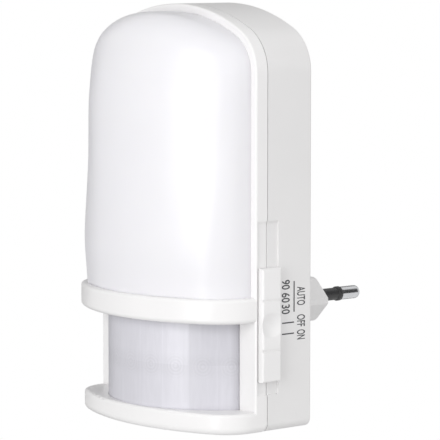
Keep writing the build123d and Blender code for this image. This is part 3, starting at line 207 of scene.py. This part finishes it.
# ---- camera, metres and millimetres of lens ----
CAMERA_PLACE = Vector((0.61163, -0.54825, 0.10413))
CAMERA_FORWARD = Vector((-0.757997, 0.644702, -0.098994))
CAMERA_LENS = 222.2
SENSOR_WIDTH = 36.0
CAMERA_CLIP = (0.05, 20.0)

# ---- studio, metres and watts; the surroundings are brighter along WORLD_WAY ----
FLOOR_DROP = 1.0
FLOOR_HALF = 8.0
WORLD_STRENGTH = 0.71
WORLD_LEAN = 0.41
WORLD_WAY = (0.95, 0.0, -0.3)
FLAGS = (
    # name, way, distance, width, height, colour: a dark band in the pins, a duller left side
    ("pin_flag", (0.74, 0.645, 0.58), 0.12, 0.07, 0.15, "#505050"),
    ("side_flag", (-0.82, 0.57, 0.0), 0.5, 0.84, 0.9, "#A8A8A8"),
)
SOFT_LIGHTS = (
    # name, azimuth, elevation, distance, width, height, power
    ("key", 17, 8, 1.1, 0.5, 0.9, 5.7),
    ("side_fill", 115, 12, 1.2, 0.6, 0.8, 0.7),
)


# ---- small helpers ----
def linear(hex_colour):
    """Linear colour of an sRGB hex value."""
    channels = [int(hex_colour[at : at + 2], 16) / 255 for at in (1, 3, 5)]
    return [c / 12.92 if c <= 0.04045 else ((c + 0.055) / 1.055) ** 2.4 for c in channels] + [1.0]


def add_node(tree, kind, inputs=None, **settings):
    """Adds a node with its settings, and sets or links its inputs by name or number."""
    made = tree.nodes.new(kind)
    for name, value in settings.items():
        setattr(made, name, value)
    for key, value in (inputs or {}).items():
        if isinstance(value, bpy.types.NodeSocket):
            tree.links.new(value, made.inputs[key])
        else:
            made.inputs[key].default_value = value
    return made


def linked_object(name, data):
    """A new object in the scene."""
    made = bpy.data.objects.new(name, data)
    bpy.context.scene.collection.objects.link(made)
    return made


def mesh_of(name, maker):
    """A mesh from a bmesh, which is freed."""
    mesh = bpy.data.meshes.new(name)
    maker.to_mesh(mesh)
    maker.free()
    return mesh


def bare_tree(owner):
    """The empty node tree of a material or world."""
    owner.use_nodes = True
    owner.node_tree.nodes.clear()
    return owner.node_tree


def new_material(name, colour, roughness, inputs=None):
    """A named material with one shader that holds the even values on its own sockets."""
    made = bpy.data.materials.new(name)
    tree = bare_tree(made)
    values = {"Base Color": linear(colour), "Roughness": roughness}
    values.update(inputs or {})
    shader = add_node(tree, "ShaderNodeBsdfPrincipled", values)
    add_node(tree, "ShaderNodeOutputMaterial", {"Surface": shader.outputs[0]})
    return made, tree, shader


def add_grain(tree, shader, grain_mm, height_mm):
    """Fine relief of a moulded or plated surface."""
    place = add_node(tree, "ShaderNodeTexCoord").outputs["Object"]
    pattern = {"Vector": place, "Scale": 1 / (grain_mm * MM), "Detail": 2.0, "Roughness": 0.5}
    noise = add_node(tree, "ShaderNodeTexNoise", pattern).outputs["Fac"]
    relief = {"Strength": 1.0, "Distance": height_mm * MM, "Height": noise}
    bump = add_node(tree, "ShaderNodeBump", relief)
    tree.links.new(bump.outputs["Normal"], shader.inputs["Normal"])


def add_tone(tree, shader, low, high, patch_mm):
    """Slow, faint drift of colour across a surface."""
    place = add_node(tree, "ShaderNodeTexCoord").outputs["Object"]
    pattern = {"Vector": place, "Scale": 1 / (patch_mm * MM), "Detail": 3.0, "Roughness": 0.55}
    noise = add_node(tree, "ShaderNodeTexNoise", pattern).outputs["Fac"]
    ramp = add_node(tree, "ShaderNodeValToRGB", {"Fac": noise})
    for stop, position, colour in zip(ramp.color_ramp.elements, (0.3, 0.7), (low, high)):
        stop.position = position
        stop.color = linear(colour)
    tree.links.new(ramp.outputs["Color"], shader.inputs["Base Color"])


def add_gloss_drift(tree, shader, low, high, patch_mm):
    """Roughness that wanders a little, as handling and moulding leave it."""
    place = add_node(tree, "ShaderNodeTexCoord").outputs["Object"]
    pattern = {"Vector": place, "Scale": 1 / (patch_mm * MM), "Detail": 4.0, "Roughness": 0.6}
    noise = add_node(tree, "ShaderNodeTexNoise", pattern).outputs["Fac"]
    spread = add_node(tree, "ShaderNodeMapRange", {"Value": noise, "To Min": low, "To Max": high})
    tree.links.new(spread.outputs["Result"], shader.inputs["Roughness"])


# ---- materials ----
def moulded_abs(name, low, high, roughness, grain_mm, height_mm):
    """Injection-moulded ABS: even white, soft gloss, with a faint grain drawn coarser than real."""
    made, tree, shader = new_material(name, high, roughness, {"IOR": 1.53})
    add_tone(tree, shader, low, high, patch_mm=35)
    add_gloss_drift(tree, shader, roughness - 0.04, roughness + 0.05, patch_mm=6)
    add_grain(tree, shader, grain_mm, height_mm)
    return made


def opal_pmma():
    """Glossy moulded opal PMMA: milky depth under a clear, smooth skin."""
    made, tree, shader = new_material(
        "opal_pmma_moulded",
        "#EFEEF3",
        0.33,
        {
            "IOR": 1.49,
            "Subsurface Weight": 0.2,
            "Subsurface Radius": (0.004, 0.004, 0.0045),
            "Subsurface Scale": 1.0,
        },
    )
    add_tone(tree, shader, "#EDECF1", "#F0EFF3", patch_mm=45)
    add_gloss_drift(tree, shader, 0.31, 0.35, patch_mm=12)
    # slow waviness of the moulded skin
    add_grain(tree, shader, grain_mm=9, height_mm=0.004)
    return made


def polyethylene_lens():
    """Thin moulded polyethylene sheet: milky and greyish, with painted shade along its edges.
    Its back carries two rows of lens segments with fine rings, each in painted light and
    shade of its own tone. Real rings are about 0.3 mm apart; these are coarser, to show."""
    made, tree, shader = new_material("polyethylene_lens_moulded", "#DCDBE2", 0.36, {"IOR": 1.52})
    place = add_node(tree, "ShaderNodeTexCoord").outputs["Object"]
    split = add_node(tree, "ShaderNodeSeparateXYZ", {0: place}).outputs
    stretch = {"Vector": place, "Scale": (1, 1, LENS_STREAK_STRETCH)}
    upright = add_node(tree, "ShaderNodeMapping", stretch).outputs[0]
    pattern = {"Vector": upright, "Scale": 1 / LENS_STREAK_WIDTH, "Detail": 2.0, "Roughness": 0.6}
    streaks = add_node(tree, "ShaderNodeTexNoise", pattern).outputs["Fac"]
    known = {"x": split[0], "y": split[1], "z": split[2], "streaks": streaks}
    for name, operation, *terms in LENS_STEPS:
        given = [known[term] if isinstance(term, str) else term for term in terms]
        if operation == "FADE":
            ends = dict(zip(("Value", "From Min", "From Max", "To Min", "To Max"), given))
            step = add_node(tree, "ShaderNodeMapRange", ends, interpolation_type="SMOOTHSTEP")
        else:
            step = add_node(tree, "ShaderNodeMath", dict(enumerate(given)), operation=operation)
        known[name] = step.outputs[0]
    rows = []
    # each row's segments get their tones of painted light and shade
    for tones in (LENS_LOWER_PAINTED_LIGHT, LENS_UPPER_PAINTED_LIGHT):
        ramp = add_node(tree, "ShaderNodeValToRGB", {"Fac": known["share"]})
        stops = ramp.color_ramp.elements
        while len(stops) < len(tones):
            stops.new(1.0)
        for stop, (column, hex_colour) in zip(stops, tones):
            stop.position = column / LENS_COLUMNS
            stop.color = linear(hex_colour)
        rows.append(ramp.outputs["Color"])
    choice = {0: known["is_upper"], 6: rows[0], 7: rows[1]}
    toned = add_node(tree, "ShaderNodeMix", choice, data_type="RGBA").outputs[2]
    for name in LENS_LAYERS:
        layer = {0: 1.0, 6: toned, 7: known[name]}
        shaded = add_node(tree, "ShaderNodeMix", layer, data_type="RGBA", blend_type="MULTIPLY")
        toned = shaded.outputs[2]
    tree.links.new(toned, shader.inputs["Base Color"])
    relief = {"Strength": 0.6, "Distance": LENS_RING_RELIEF, "Height": known["rings"]}
    bump = add_node(tree, "ShaderNodeBump", relief)
    tree.links.new(bump.outputs["Normal"], shader.inputs["Normal"])
    return made


def plain_plastic(name, low, high, roughness, grain_mm=0.5, height_mm=0.01):
    """Small moulded or cast piece with a fine grain, drawn coarser than real so that it shows."""
    made, tree, shader = new_material(name, high, roughness)
    add_tone(tree, shader, low, high, patch_mm=4)
    add_grain(tree, shader, grain_mm, height_mm)
    return made


def plated_metal(name, low, high, roughness, grain_mm=0.3, height_mm=0.004):
    """Plated or drawn metal with a faint grain, drawn coarser than real so that it shows."""
    made, tree, shader = new_material(name, high, roughness, {"Metallic": 1.0})
    add_tone(tree, shader, low, high, patch_mm=3)
    add_grain(tree, shader, grain_mm, height_mm)
    return made


MATERIALS = {
    # polished mould: clean white with a soft shine that runs along the rim
    "frame_abs": moulded_abs("abs_white_gloss_moulded", "#EFEEEE", "#F2F1F1", 0.3, 2.5, 0.004),
    # lightly sparked mould: a shade greyer, and satin, so its flat sides stay calm
    "rear_abs": moulded_abs("abs_white_satin_moulded", "#E7E6E6", "#EAE9E9", 0.38, 0.9, 0.003),
    # polished, then thumbed: the brightest white, with slightly blurred highlights
    "knob_abs": moulded_abs("abs_white_slider_moulded", "#EFEEEE", "#F3F2F2", 0.32, 1.8, 0.003),
    # hidden pieces from an unpolished mould: warm white and nearly dull
    "inner_abs": moulded_abs("abs_white_inner_moulded", "#E8E8E6", "#EEEEEC", 0.45, 0.5, 0.006),
    # milky, faintly blue white whose shadows are softened by light inside the sheet
    "diffuser": opal_pmma(),
    # greyish milk film with lens segments in tones of painted light and shade
    "lens": polyethylene_lens(),
    # moulded round the pin: black, drawn dark grey all over as painted sheen of grazing light
    "sleeve": plain_plastic("nylon_black_sleeve", "#2C2C2D", "#373738", 0.42),
    # filled epoxy from a dull mould: deep, flat black
    "black": plain_plastic("epoxy_black_moulded", "#161618", "#202023", 0.5),
    # pad-printed: thin, matt, very dark grey
    "ink": plain_plastic("ink_grey_printed", "#3C3D40", "#4A4B4E", 0.6),
    # cured lacquer over copper: even green with a light shine
    "board": plain_plastic("solder_mask_green", "#235A34", "#2F6B3E", 0.4),
    # pressed thermoset: ivory and dull, a little mottled
    "carrier": plain_plastic("thermoset_ivory_moulded", "#D2CFC4", "#DEDBD0", 0.5),
    # heat-shrunk film: tight, smooth blue
    "blue": plain_plastic("sleeve_blue_shrunk", "#27437D", "#30528F", 0.35),
    # dipped epoxy: glossy brick red, slightly uneven
    "red": plain_plastic("epoxy_red_dipped", "#9C3B29", "#B04833", 0.3),
    # polished and coated: near black with a hard shine
    "filter": plain_plastic("silicon_filter_coated", "#17181C", "#24262C", 0.15),
    # phosphor stirred into resin: soft, chalky yellow
    "led": plain_plastic("phosphor_resin_yellow", "#EBDD9A", "#F5E9B4", 0.35),
    # cast clear resin: shiny amber
    "resin": plain_plastic("resin_amber_cast", "#BB7C3E", "#CF9252", 0.2),
    # extruded over wire: brown, smooth and waxy
    "insulation": plain_plastic("pvc_brown_extruded", "#7A4E2E", "#8F5D38", 0.5),
    # nickel over brass: bright metal with fairly crisp bands of light and dark
    "pin": plated_metal("brass_nickel_plated", "#C3C4C6", "#D2D3D5", 0.2),
    # zinc over rolled steel: cool grey with blurred highlights
    "zinc": plated_metal("steel_zinc_plated", "#A2A4A6", "#B4B6B8", 0.35),
    # tin from a hot bath: pale, softly shining
    "tinned": plated_metal("wire_tinned", "#B8B9BA", "#C8C9CA", 0.3),
    # deep-drawn and plated: plain mid grey shine
    "can": plated_metal("steel_nickel_drawn", "#ABACAE", "#BDBEC0", 0.28),
}

FINISH = {
    "rear_housing": "rear_abs",
    "front_frame": "frame_abs",
    "diffuser": "diffuser",
    "sensor_lens": "lens",
    "lens_retainers": "inner_abs",
    "slider_knob": "knob_abs",
    "switch_shell": "tinned",
    "switch_base": "black",
    "switch_lever": "black",
    "switch_terminals": "tinned",
    "main_board": "board",
    "board_screws": "zinc",
    "sensor_spacer": "black",
    "sensor_can": "can",
    "sensor_filter": "filter",
    "sensor_leads": "tinned",
    "photocell": "resin",
    "film_capacitor": "red",
    "electrolytic_capacitors": "blue",
    "bridge_rectifier": "black",
    "fuse_resistor": "blue",
    "control_chip": "black",
    "chip_resistors": "black",
    "reflector_tray": "inner_abs",
    "led_board": "board",
    "led_chips": "led",
    "led_screws": "zinc",
    "link_header": "black",
    "link_pins": "tinned",
    "contact_pins": "pin",
    "pin_sleeves": "sleeve",
    "pin_carrier": "carrier",
    "supply_leads": "insulation",
    "housing_screws": "zinc",
}


def dress(piece, material):
    """Gives a piece one material."""
    piece.data.materials.clear()
    piece.data.materials.append(MATERIALS[material])


def finished_piece(name, mesh_maker, material, body, replaced=(), smooth=True):
    """Turns a bmesh into a piece that rides on a body."""
    mesh = mesh_of(name, mesh_maker)
    piece = linked_object(name, mesh)
    for face in mesh.polygons:
        face.use_smooth = smooth
    dress(piece, material)
    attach(piece, body)
    if replaced:
        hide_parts(*replaced)
    return piece


def mark_sharp(maker):
    """Keeps real edges sharp and lets the rounded ones shade softly."""
    for edge in maker.edges:
        edge.smooth = edge.calc_face_angle(math.pi) < SHARP_ANGLE


def joined_copy(node):
    """Copy of a CAD piece with its loose triangles joined and its real edges kept sharp."""
    mesh = NODES[node].data.copy()
    if "custom_normal" in mesh.attributes:
        mesh.attributes.remove(mesh.attributes["custom_normal"])
    maker = bmesh.new()
    maker.from_mesh(mesh)
    bpy.data.meshes.remove(mesh)
    bmesh.ops.remove_doubles(maker, verts=maker.verts, dist=MERGE_DISTANCE)
    bmesh.ops.dissolve_degenerate(maker, dist=MERGE_DISTANCE, edges=maker.edges)
    mark_sharp(maker)
    return maker


def shade_by_area(piece):
    """Large flat faces stay flat and the small rounded edges between them stay soft."""
    weighting = piece.modifiers.new("even_shading", "WEIGHTED_NORMAL")
    weighting.keep_sharp = True
    weighting.weight = 50


# ---- housing and knob, joined so that their edges shade cleanly ----
for node in ("front_frame", "rear_housing"):
    shell = joined_copy(node)
    shade_by_area(finished_piece(node + "_shell", shell, FINISH[node], HOUSING, [node]))

knob = joined_copy("slider_knob")
for vert in knob.verts:
    if vert.co.x > TRACK_FLOOR_X:
        share = (vert.co.y - KNOB_LOW.y) / (KNOB_HIGH.y - KNOB_LOW.y)
        vert.co.y = KNOB_CAP_SPAN[0] + (KNOB_CAP_SPAN[1] - KNOB_CAP_SPAN[0]) * share
shade_by_area(
    finished_piece("slider_knob_cap", knob, "knob_abs", SLIDER, ["slider_knob"])
)


# ---- diffuser ----
def smooth_share(height, start, tall):
    """Share from 0 to 1 over a height, with soft ends."""
    share = min(1.0, max(0.0, (height - start) / tall))
    return share * share * (3 - 2 * share)


def edge_radius(height):
    """Rounding between the dome's face and its sides: it gets smaller upwards."""
    share = smooth_share(height, DOME_SWELL_START, DOME_EDGE_R_TALL)
    return DOME_EDGE_R_LOW + (DOME_EDGE_R_HIGH - DOME_EDGE_R_LOW) * share


def arch_half_width(height, inset):
    """Half width of the arched outline, moved inwards, at a height."""
    shoulder = CROWN_CENTRE + (CROWN_R - inset) * math.cos(CROWN_ANGLE)
    if height <= SPRING:
        return HALF - inset
    if height <= shoulder:
        return CORNER_X + math.sqrt(max((ARCH_CORNER_R - inset) ** 2 - (height - SPRING) ** 2, 0))
    return math.sqrt(max((CROWN_R - inset) ** 2 - (height - CROWN_CENTRE) ** 2, 0))


def sheet_reach(x, height, edge_r):
    """Reach of the middle sheet that the rounding rolls over: bowed, swelling, then tapering."""
    centre_x = HALF - DOME_GAP - edge_r
    rise = DOME_REACH - edge_r
    bow_r = (centre_x**2 + rise**2) / (2 * rise)
    swell = DOME_SWELL * smooth_share(height, DOME_SWELL_START, DOME_SWELL_TALL)
    taper_tall = TOP - DOME_GAP - edge_r - DOME_TAPER_START
    taper = DOME_TAPER * max(0.0, (height - DOME_TAPER_START) / taper_tall) ** 2
    return rise - bow_r + math.sqrt(bow_r**2 - min(abs(x), centre_x) ** 2) + swell - taper


def way_inwards(x, height):
    """Distance to the dome's arched outline and the direction away from it."""
    side = 1 if x >= 0 else -1
    across, up = abs(x) - CORNER_X, height - SPRING
    if across > 0 and up > 0 and math.atan2(across, up) >= CROWN_ANGLE:
        reach = math.hypot(across, up)
        return ARCH_CORNER_R - DOME_GAP - reach, Vector((-side * across, -up)) / reach
    reach = math.hypot(x, height - CROWN_CENTRE)
    to_side, to_crown = HALF - DOME_GAP - abs(x), CROWN_R - DOME_GAP - reach
    if up <= 0 and to_side <= to_crown:
        return to_side, Vector((-side, 0.0))
    return to_crown, Vector((-x, CROWN_CENTRE - height)) / reach


def dome_reach(x, height):
    """Reach of the dome where a ball of the edge radius rolls over the middle sheet."""
    edge_r = edge_radius(height)
    distance, way = way_inwards(x, height)
    left = min(max(edge_r - distance, 0.0), edge_r)
    near = Vector((x, height)) + way * left
    step = 0.01 * MM
    along_x = sheet_reach(near.x + step, near.y, edge_r) - sheet_reach(near.x - step, near.y, edge_r)
    along_z = sheet_reach(near.x, near.y + step, edge_r) - sheet_reach(near.x, near.y - step, edge_r)
    slope = Vector((along_x, along_z)) / (2 * step)
    steep = math.sqrt(1 + slope.length_squared)
    inwards = slope.dot(way)
    if edge_r * inwards / steep >= left:
        moved = Vector((x, height)) + slope * edge_r / steep
        return sheet_reach(moved.x, moved.y, edge_r) + edge_r / steep
    along = slope - way * inwards
    share = math.sqrt(edge_r**2 - left**2) / math.sqrt(1 + along.length_squared)
    moved = near + along * share
    return sheet_reach(moved.x, moved.y, edge_r) + share


def diffuser_shell():
    """Smooth dome: a grid bent over the arched outline, before it gets its wall."""
    shell = bmesh.new()
    bmesh.ops.create_grid(shell, x_segments=DOME_COLUMNS, y_segments=DOME_ROWS, size=1.0)
    crown = TOP - DOME_GAP
    straight = DOME_STRAIGHT_SHARE
    edge, last = 1 - 2 / DOME_COLUMNS, 1 - 1 / DOME_ROWS
    for vert in shell.verts:
        across, up = vert.co.x, (vert.co.y + 1) / 2
        rise = min(1.0, max(0.0, (up / last - straight) / (1 - straight)))
        height = SPRING + (crown - SPRING) * math.sin(math.pi / 2 * rise)
        if up / last < straight:
            height = DOME_FOOT + (SPRING - DOME_FOOT) * up / last / straight
        height = min(height, crown - DOME_MERGE / 2)
        half = arch_half_width(height, DOME_GAP)
        x = half * math.sin(math.pi / 2 * max(-1.0, min(1.0, across / edge)))
        # the outermost column and row turn back into the frame
        turned_back = abs(across) > edge + 1e-6 or up > last + 1e-6
        vert.co = (x, DOME_BACK if turned_back else FRONT - dome_reach(x, height), height)
    # the moulded face has no line where its rounding starts
    inner = [v for v in shell.verts if v.co.y < DOME_BACK - MM and DOME_FOOT + MM < v.co.z < crown - MM]
    for _ in range(DOME_EASING):
        bmesh.ops.smooth_vert(shell, verts=inner, factor=0.5, use_axis_y=True)
    bmesh.ops.remove_doubles(shell, verts=shell.verts, dist=DOME_MERGE)
    bmesh.ops.recalc_face_normals(shell, faces=shell.faces)
    return shell


diffuser_skin = finished_piece(
    "diffuser_shell", diffuser_shell(), "diffuser", HOUSING, ["diffuser"]
)
wall = diffuser_skin.modifiers.new("wall", "SOLIDIFY")
wall.thickness = DOME_WALL
wall.offset = -1.0


# ---- printed scale ----
def print_on_side(name, maker, depth, height):
    """Turns flat print to the switch side and sets it just proud of the wall."""
    bmesh.ops.rotate(maker, verts=maker.verts, matrix=Matrix(((0, 0, 1), (0, 1, 0), (-1, 0, 0))))
    bmesh.ops.translate(maker, verts=maker.verts, vec=(HALF + PRINT_LIFT, depth, height))
    finished_piece(name, maker, "ink", HOUSING, smooth=False)


def flat_print(name, text, middle_height, row, length):
    """Printed letters that read downwards on the switch side."""
    curve = bpy.data.curves.new(name, "FONT")
    curve.body = text
    curve.offset = PRINT_BOLD
    curve.align_x = "CENTER"
    curve.align_y = "CENTER"
    holder = linked_object(name + "_text", curve)
    bpy.context.view_layer.update()
    mesh = bpy.data.meshes.new_from_object(holder)
    bpy.data.objects.remove(holder)
    maker = bmesh.new()
    maker.from_mesh(mesh)
    bpy.data.meshes.remove(mesh)
    low = Vector([min(v.co[i] for v in maker.verts) for i in range(3)])
    high = Vector([max(v.co[i] for v in maker.verts) for i in range(3)])
    middle, size = (low + high) / 2, high - low
    bmesh.ops.translate(maker, verts=maker.verts, vec=-middle)
    bmesh.ops.scale(maker, verts=maker.verts, vec=(length / size.x, PRINT_TALL / size.y, 1))
    print_on_side(name, maker, row, BOTTOM + middle_height * MM)


def flat_bar(name, y_span, height_span):
    """Printed bar on the switch side."""
    maker = bmesh.new()
    bmesh.ops.create_grid(maker, x_segments=1, y_segments=1, size=0.5)
    size = (height_span[1] - height_span[0], y_span[1] - y_span[0], 1)
    bmesh.ops.scale(maker, verts=maker.verts, vec=size)
    print_on_side(name, maker, sum(y_span) / 2, sum(height_span) / 2)


for row, marks in ((DIGIT_ROW, SCALE_DIGITS), (WORD_ROW, SCALE_WORDS)):
    for text, middle_height, length in marks:
        flat_print("scale_" + text.lower(), text, middle_height, row, length * MM)
for index, tick in enumerate(TICK_HEIGHTS):
    middle = BOTTOM + tick * MM
    flat_bar(f"scale_tick_{index + 1}", TICK_SPAN, (middle - TICK_LINE / 2, middle + TICK_LINE / 2))
flat_bar(
    "scale_bracket",
    (BRACKET_DEPTH - BRACKET_LINE / 2, BRACKET_DEPTH + BRACKET_LINE / 2),
    tuple(BOTTOM + height * MM for height in BRACKET_SPAN),
)


# ---- sleeves on the pins ----
def pin_sleeve_pair():
    """Two thin black sleeves, each with a raised collar at the metal end."""
    maker = bmesh.new()
    for side in (-1, 1):
        ring = [maker.verts.new((side * PIN_X + r * MM, along * MM, 0)) for along, r in SLEEVE_PROFILE]
        loop = [maker.edges.new((ring[at - 1], ring[at])) for at in range(len(ring))]
        bmesh.ops.spin(
            maker,
            geom=ring + loop,
            cent=(side * PIN_X, 0, 0),
            axis=(0, 1, 0),
            angle=math.tau,
            steps=SLEEVE_STEPS,
            use_merge=True,
        )
    bmesh.ops.remove_doubles(maker, verts=maker.verts, dist=MERGE_DISTANCE)
    bmesh.ops.recalc_face_normals(maker, faces=maker.faces)
    mark_sharp(maker)
    return maker


finished_piece(
    "pin_sleeve_pair", pin_sleeve_pair(), "sleeve", HOUSING, ["pin_sleeves"]
)

# ---- finishes of the other pieces ----
for node, finish in FINISH.items():
    dress(NODES[node], finish)


# ---- stage: floor, surroundings and light ----
def seen_directly(tree):
    """1 for camera, glossy and transmission rays, which see plain white, and 0 for light."""
    path = add_node(tree, "ShaderNodeLightPath").outputs
    seen = path["Is Camera Ray"]
    for ray in ("Is Glossy Ray", "Is Transmission Ray"):
        either = add_node(tree, "ShaderNodeMath", {0: seen, 1: path[ray]}, operation="MAXIMUM")
        seen = either.outputs[0]
    return seen


def facing(way, track="Z"):
    """Matrix that turns an axis of an object along a direction."""
    return way.to_track_quat(track, "Y").to_matrix().to_4x4()


def build_floor():
    """Pale floor well below the housing, which hangs in its socket."""
    maker = bmesh.new()
    bmesh.ops.create_grid(maker, x_segments=1, y_segments=1, size=FLOOR_HALF)
    bmesh.ops.translate(maker, verts=maker.verts, vec=(0, 0, BOTTOM - FLOOR_DROP))
    floor = linked_object("floor", mesh_of("floor", maker))
    made = bpy.data.materials.new("floor_paint")
    tree = bare_tree(made)
    paint = add_node(tree, "ShaderNodeBsdfDiffuse", {"Color": linear("#E8E8E8")})
    white = add_node(tree, "ShaderNodeEmission", {"Color": linear("#FFFFFF"), "Strength": 1.0})
    mixed = {0: seen_directly(tree), 1: paint.outputs[0], 2: white.outputs[0]}
    surface = add_node(tree, "ShaderNodeMixShader", mixed)
    add_node(tree, "ShaderNodeOutputMaterial", {"Surface": surface.outputs[0]})
    floor.data.materials.append(made)


def build_flag(name, way, distance, width, height, colour):
    """Studio card that only reflections show."""
    out = Vector(way).normalized()
    maker = bmesh.new()
    bmesh.ops.create_grid(maker, x_segments=1, y_segments=1, size=0.5)
    bmesh.ops.scale(maker, verts=maker.verts, vec=(width, height, 1))
    place = Matrix.Translation(out * distance) @ facing(-out)
    bmesh.ops.transform(maker, verts=maker.verts, matrix=place)
    flag = linked_object(name, mesh_of(name, maker))
    made = bpy.data.materials.new(name + "_felt")
    tree = bare_tree(made)
    felt = add_node(tree, "ShaderNodeBsdfDiffuse", {"Color": linear(colour)})
    add_node(tree, "ShaderNodeOutputMaterial", {"Surface": felt.outputs[0]})
    flag.data.materials.append(made)
    flag.visible_camera = False
    flag.visible_diffuse = False
    flag.visible_shadow = False
    flag.visible_transmission = False


def build_world():
    """Pale surroundings, a little brighter on the switch side, and seen as plain white."""
    world = bpy.data.worlds.new("studio")
    bpy.context.scene.world = world
    tree = bare_tree(world)
    way = add_node(tree, "ShaderNodeTexCoord").outputs["Generated"]
    sideways = add_node(tree, "ShaderNodeVectorMath", {0: way, 1: WORLD_WAY}, operation="DOT_PRODUCT")
    lean = {
        "Value": sideways.outputs["Value"],
        "From Min": -1.0,
        "From Max": 1.0,
        "To Min": WORLD_STRENGTH - WORLD_LEAN,
        "To Max": WORLD_STRENGTH + WORLD_LEAN,
    }
    uneven = add_node(tree, "ShaderNodeMapRange", lean).outputs["Result"]
    shown = {"Value": seen_directly(tree), "To Min": uneven, "To Max": 1.0}
    strength = add_node(tree, "ShaderNodeMapRange", shown).outputs["Result"]
    sky = add_node(tree, "ShaderNodeBackground", {"Color": linear("#FFFFFF"), "Strength": strength})
    add_node(tree, "ShaderNodeOutputWorld", {"Surface": sky.outputs[0]})


def build_light(name, azimuth, elevation, distance, width, height, power):
    """Soft rectangular lamp aimed at the middle of the housing."""
    lamp = bpy.data.lights.new(name, "AREA")
    lamp.shape = "RECTANGLE"
    lamp.size = width
    lamp.size_y = height
    lamp.energy = power
    a, e = math.radians(azimuth), math.radians(elevation)
    out = Vector((math.sin(a) * math.cos(e), -math.cos(a) * math.cos(e), math.sin(e)))
    middle = Vector((0, FRONT, (BOTTOM + TOP) / 2))
    linked_object(name, lamp).matrix_world = Matrix.Translation(middle + out * distance) @ facing(out)


def build_camera():
    """Long lens, high on the switch side."""
    camera = bpy.data.cameras.new("camera")
    camera.lens = CAMERA_LENS
    camera.sensor_width = SENSOR_WIDTH
    camera.clip_start, camera.clip_end = CAMERA_CLIP
    holder = linked_object("camera", camera)
    holder.matrix_world = Matrix.Translation(CAMERA_PLACE) @ facing(CAMERA_FORWARD, "-Z")
    bpy.context.scene.camera = holder


build_floor()
for flag in FLAGS:
    build_flag(*flag)
build_world()
for light in SOFT_LIGHTS:
    build_light(*light)
build_camera()
bpy.context.scene.view_settings.view_transform = "Standard"
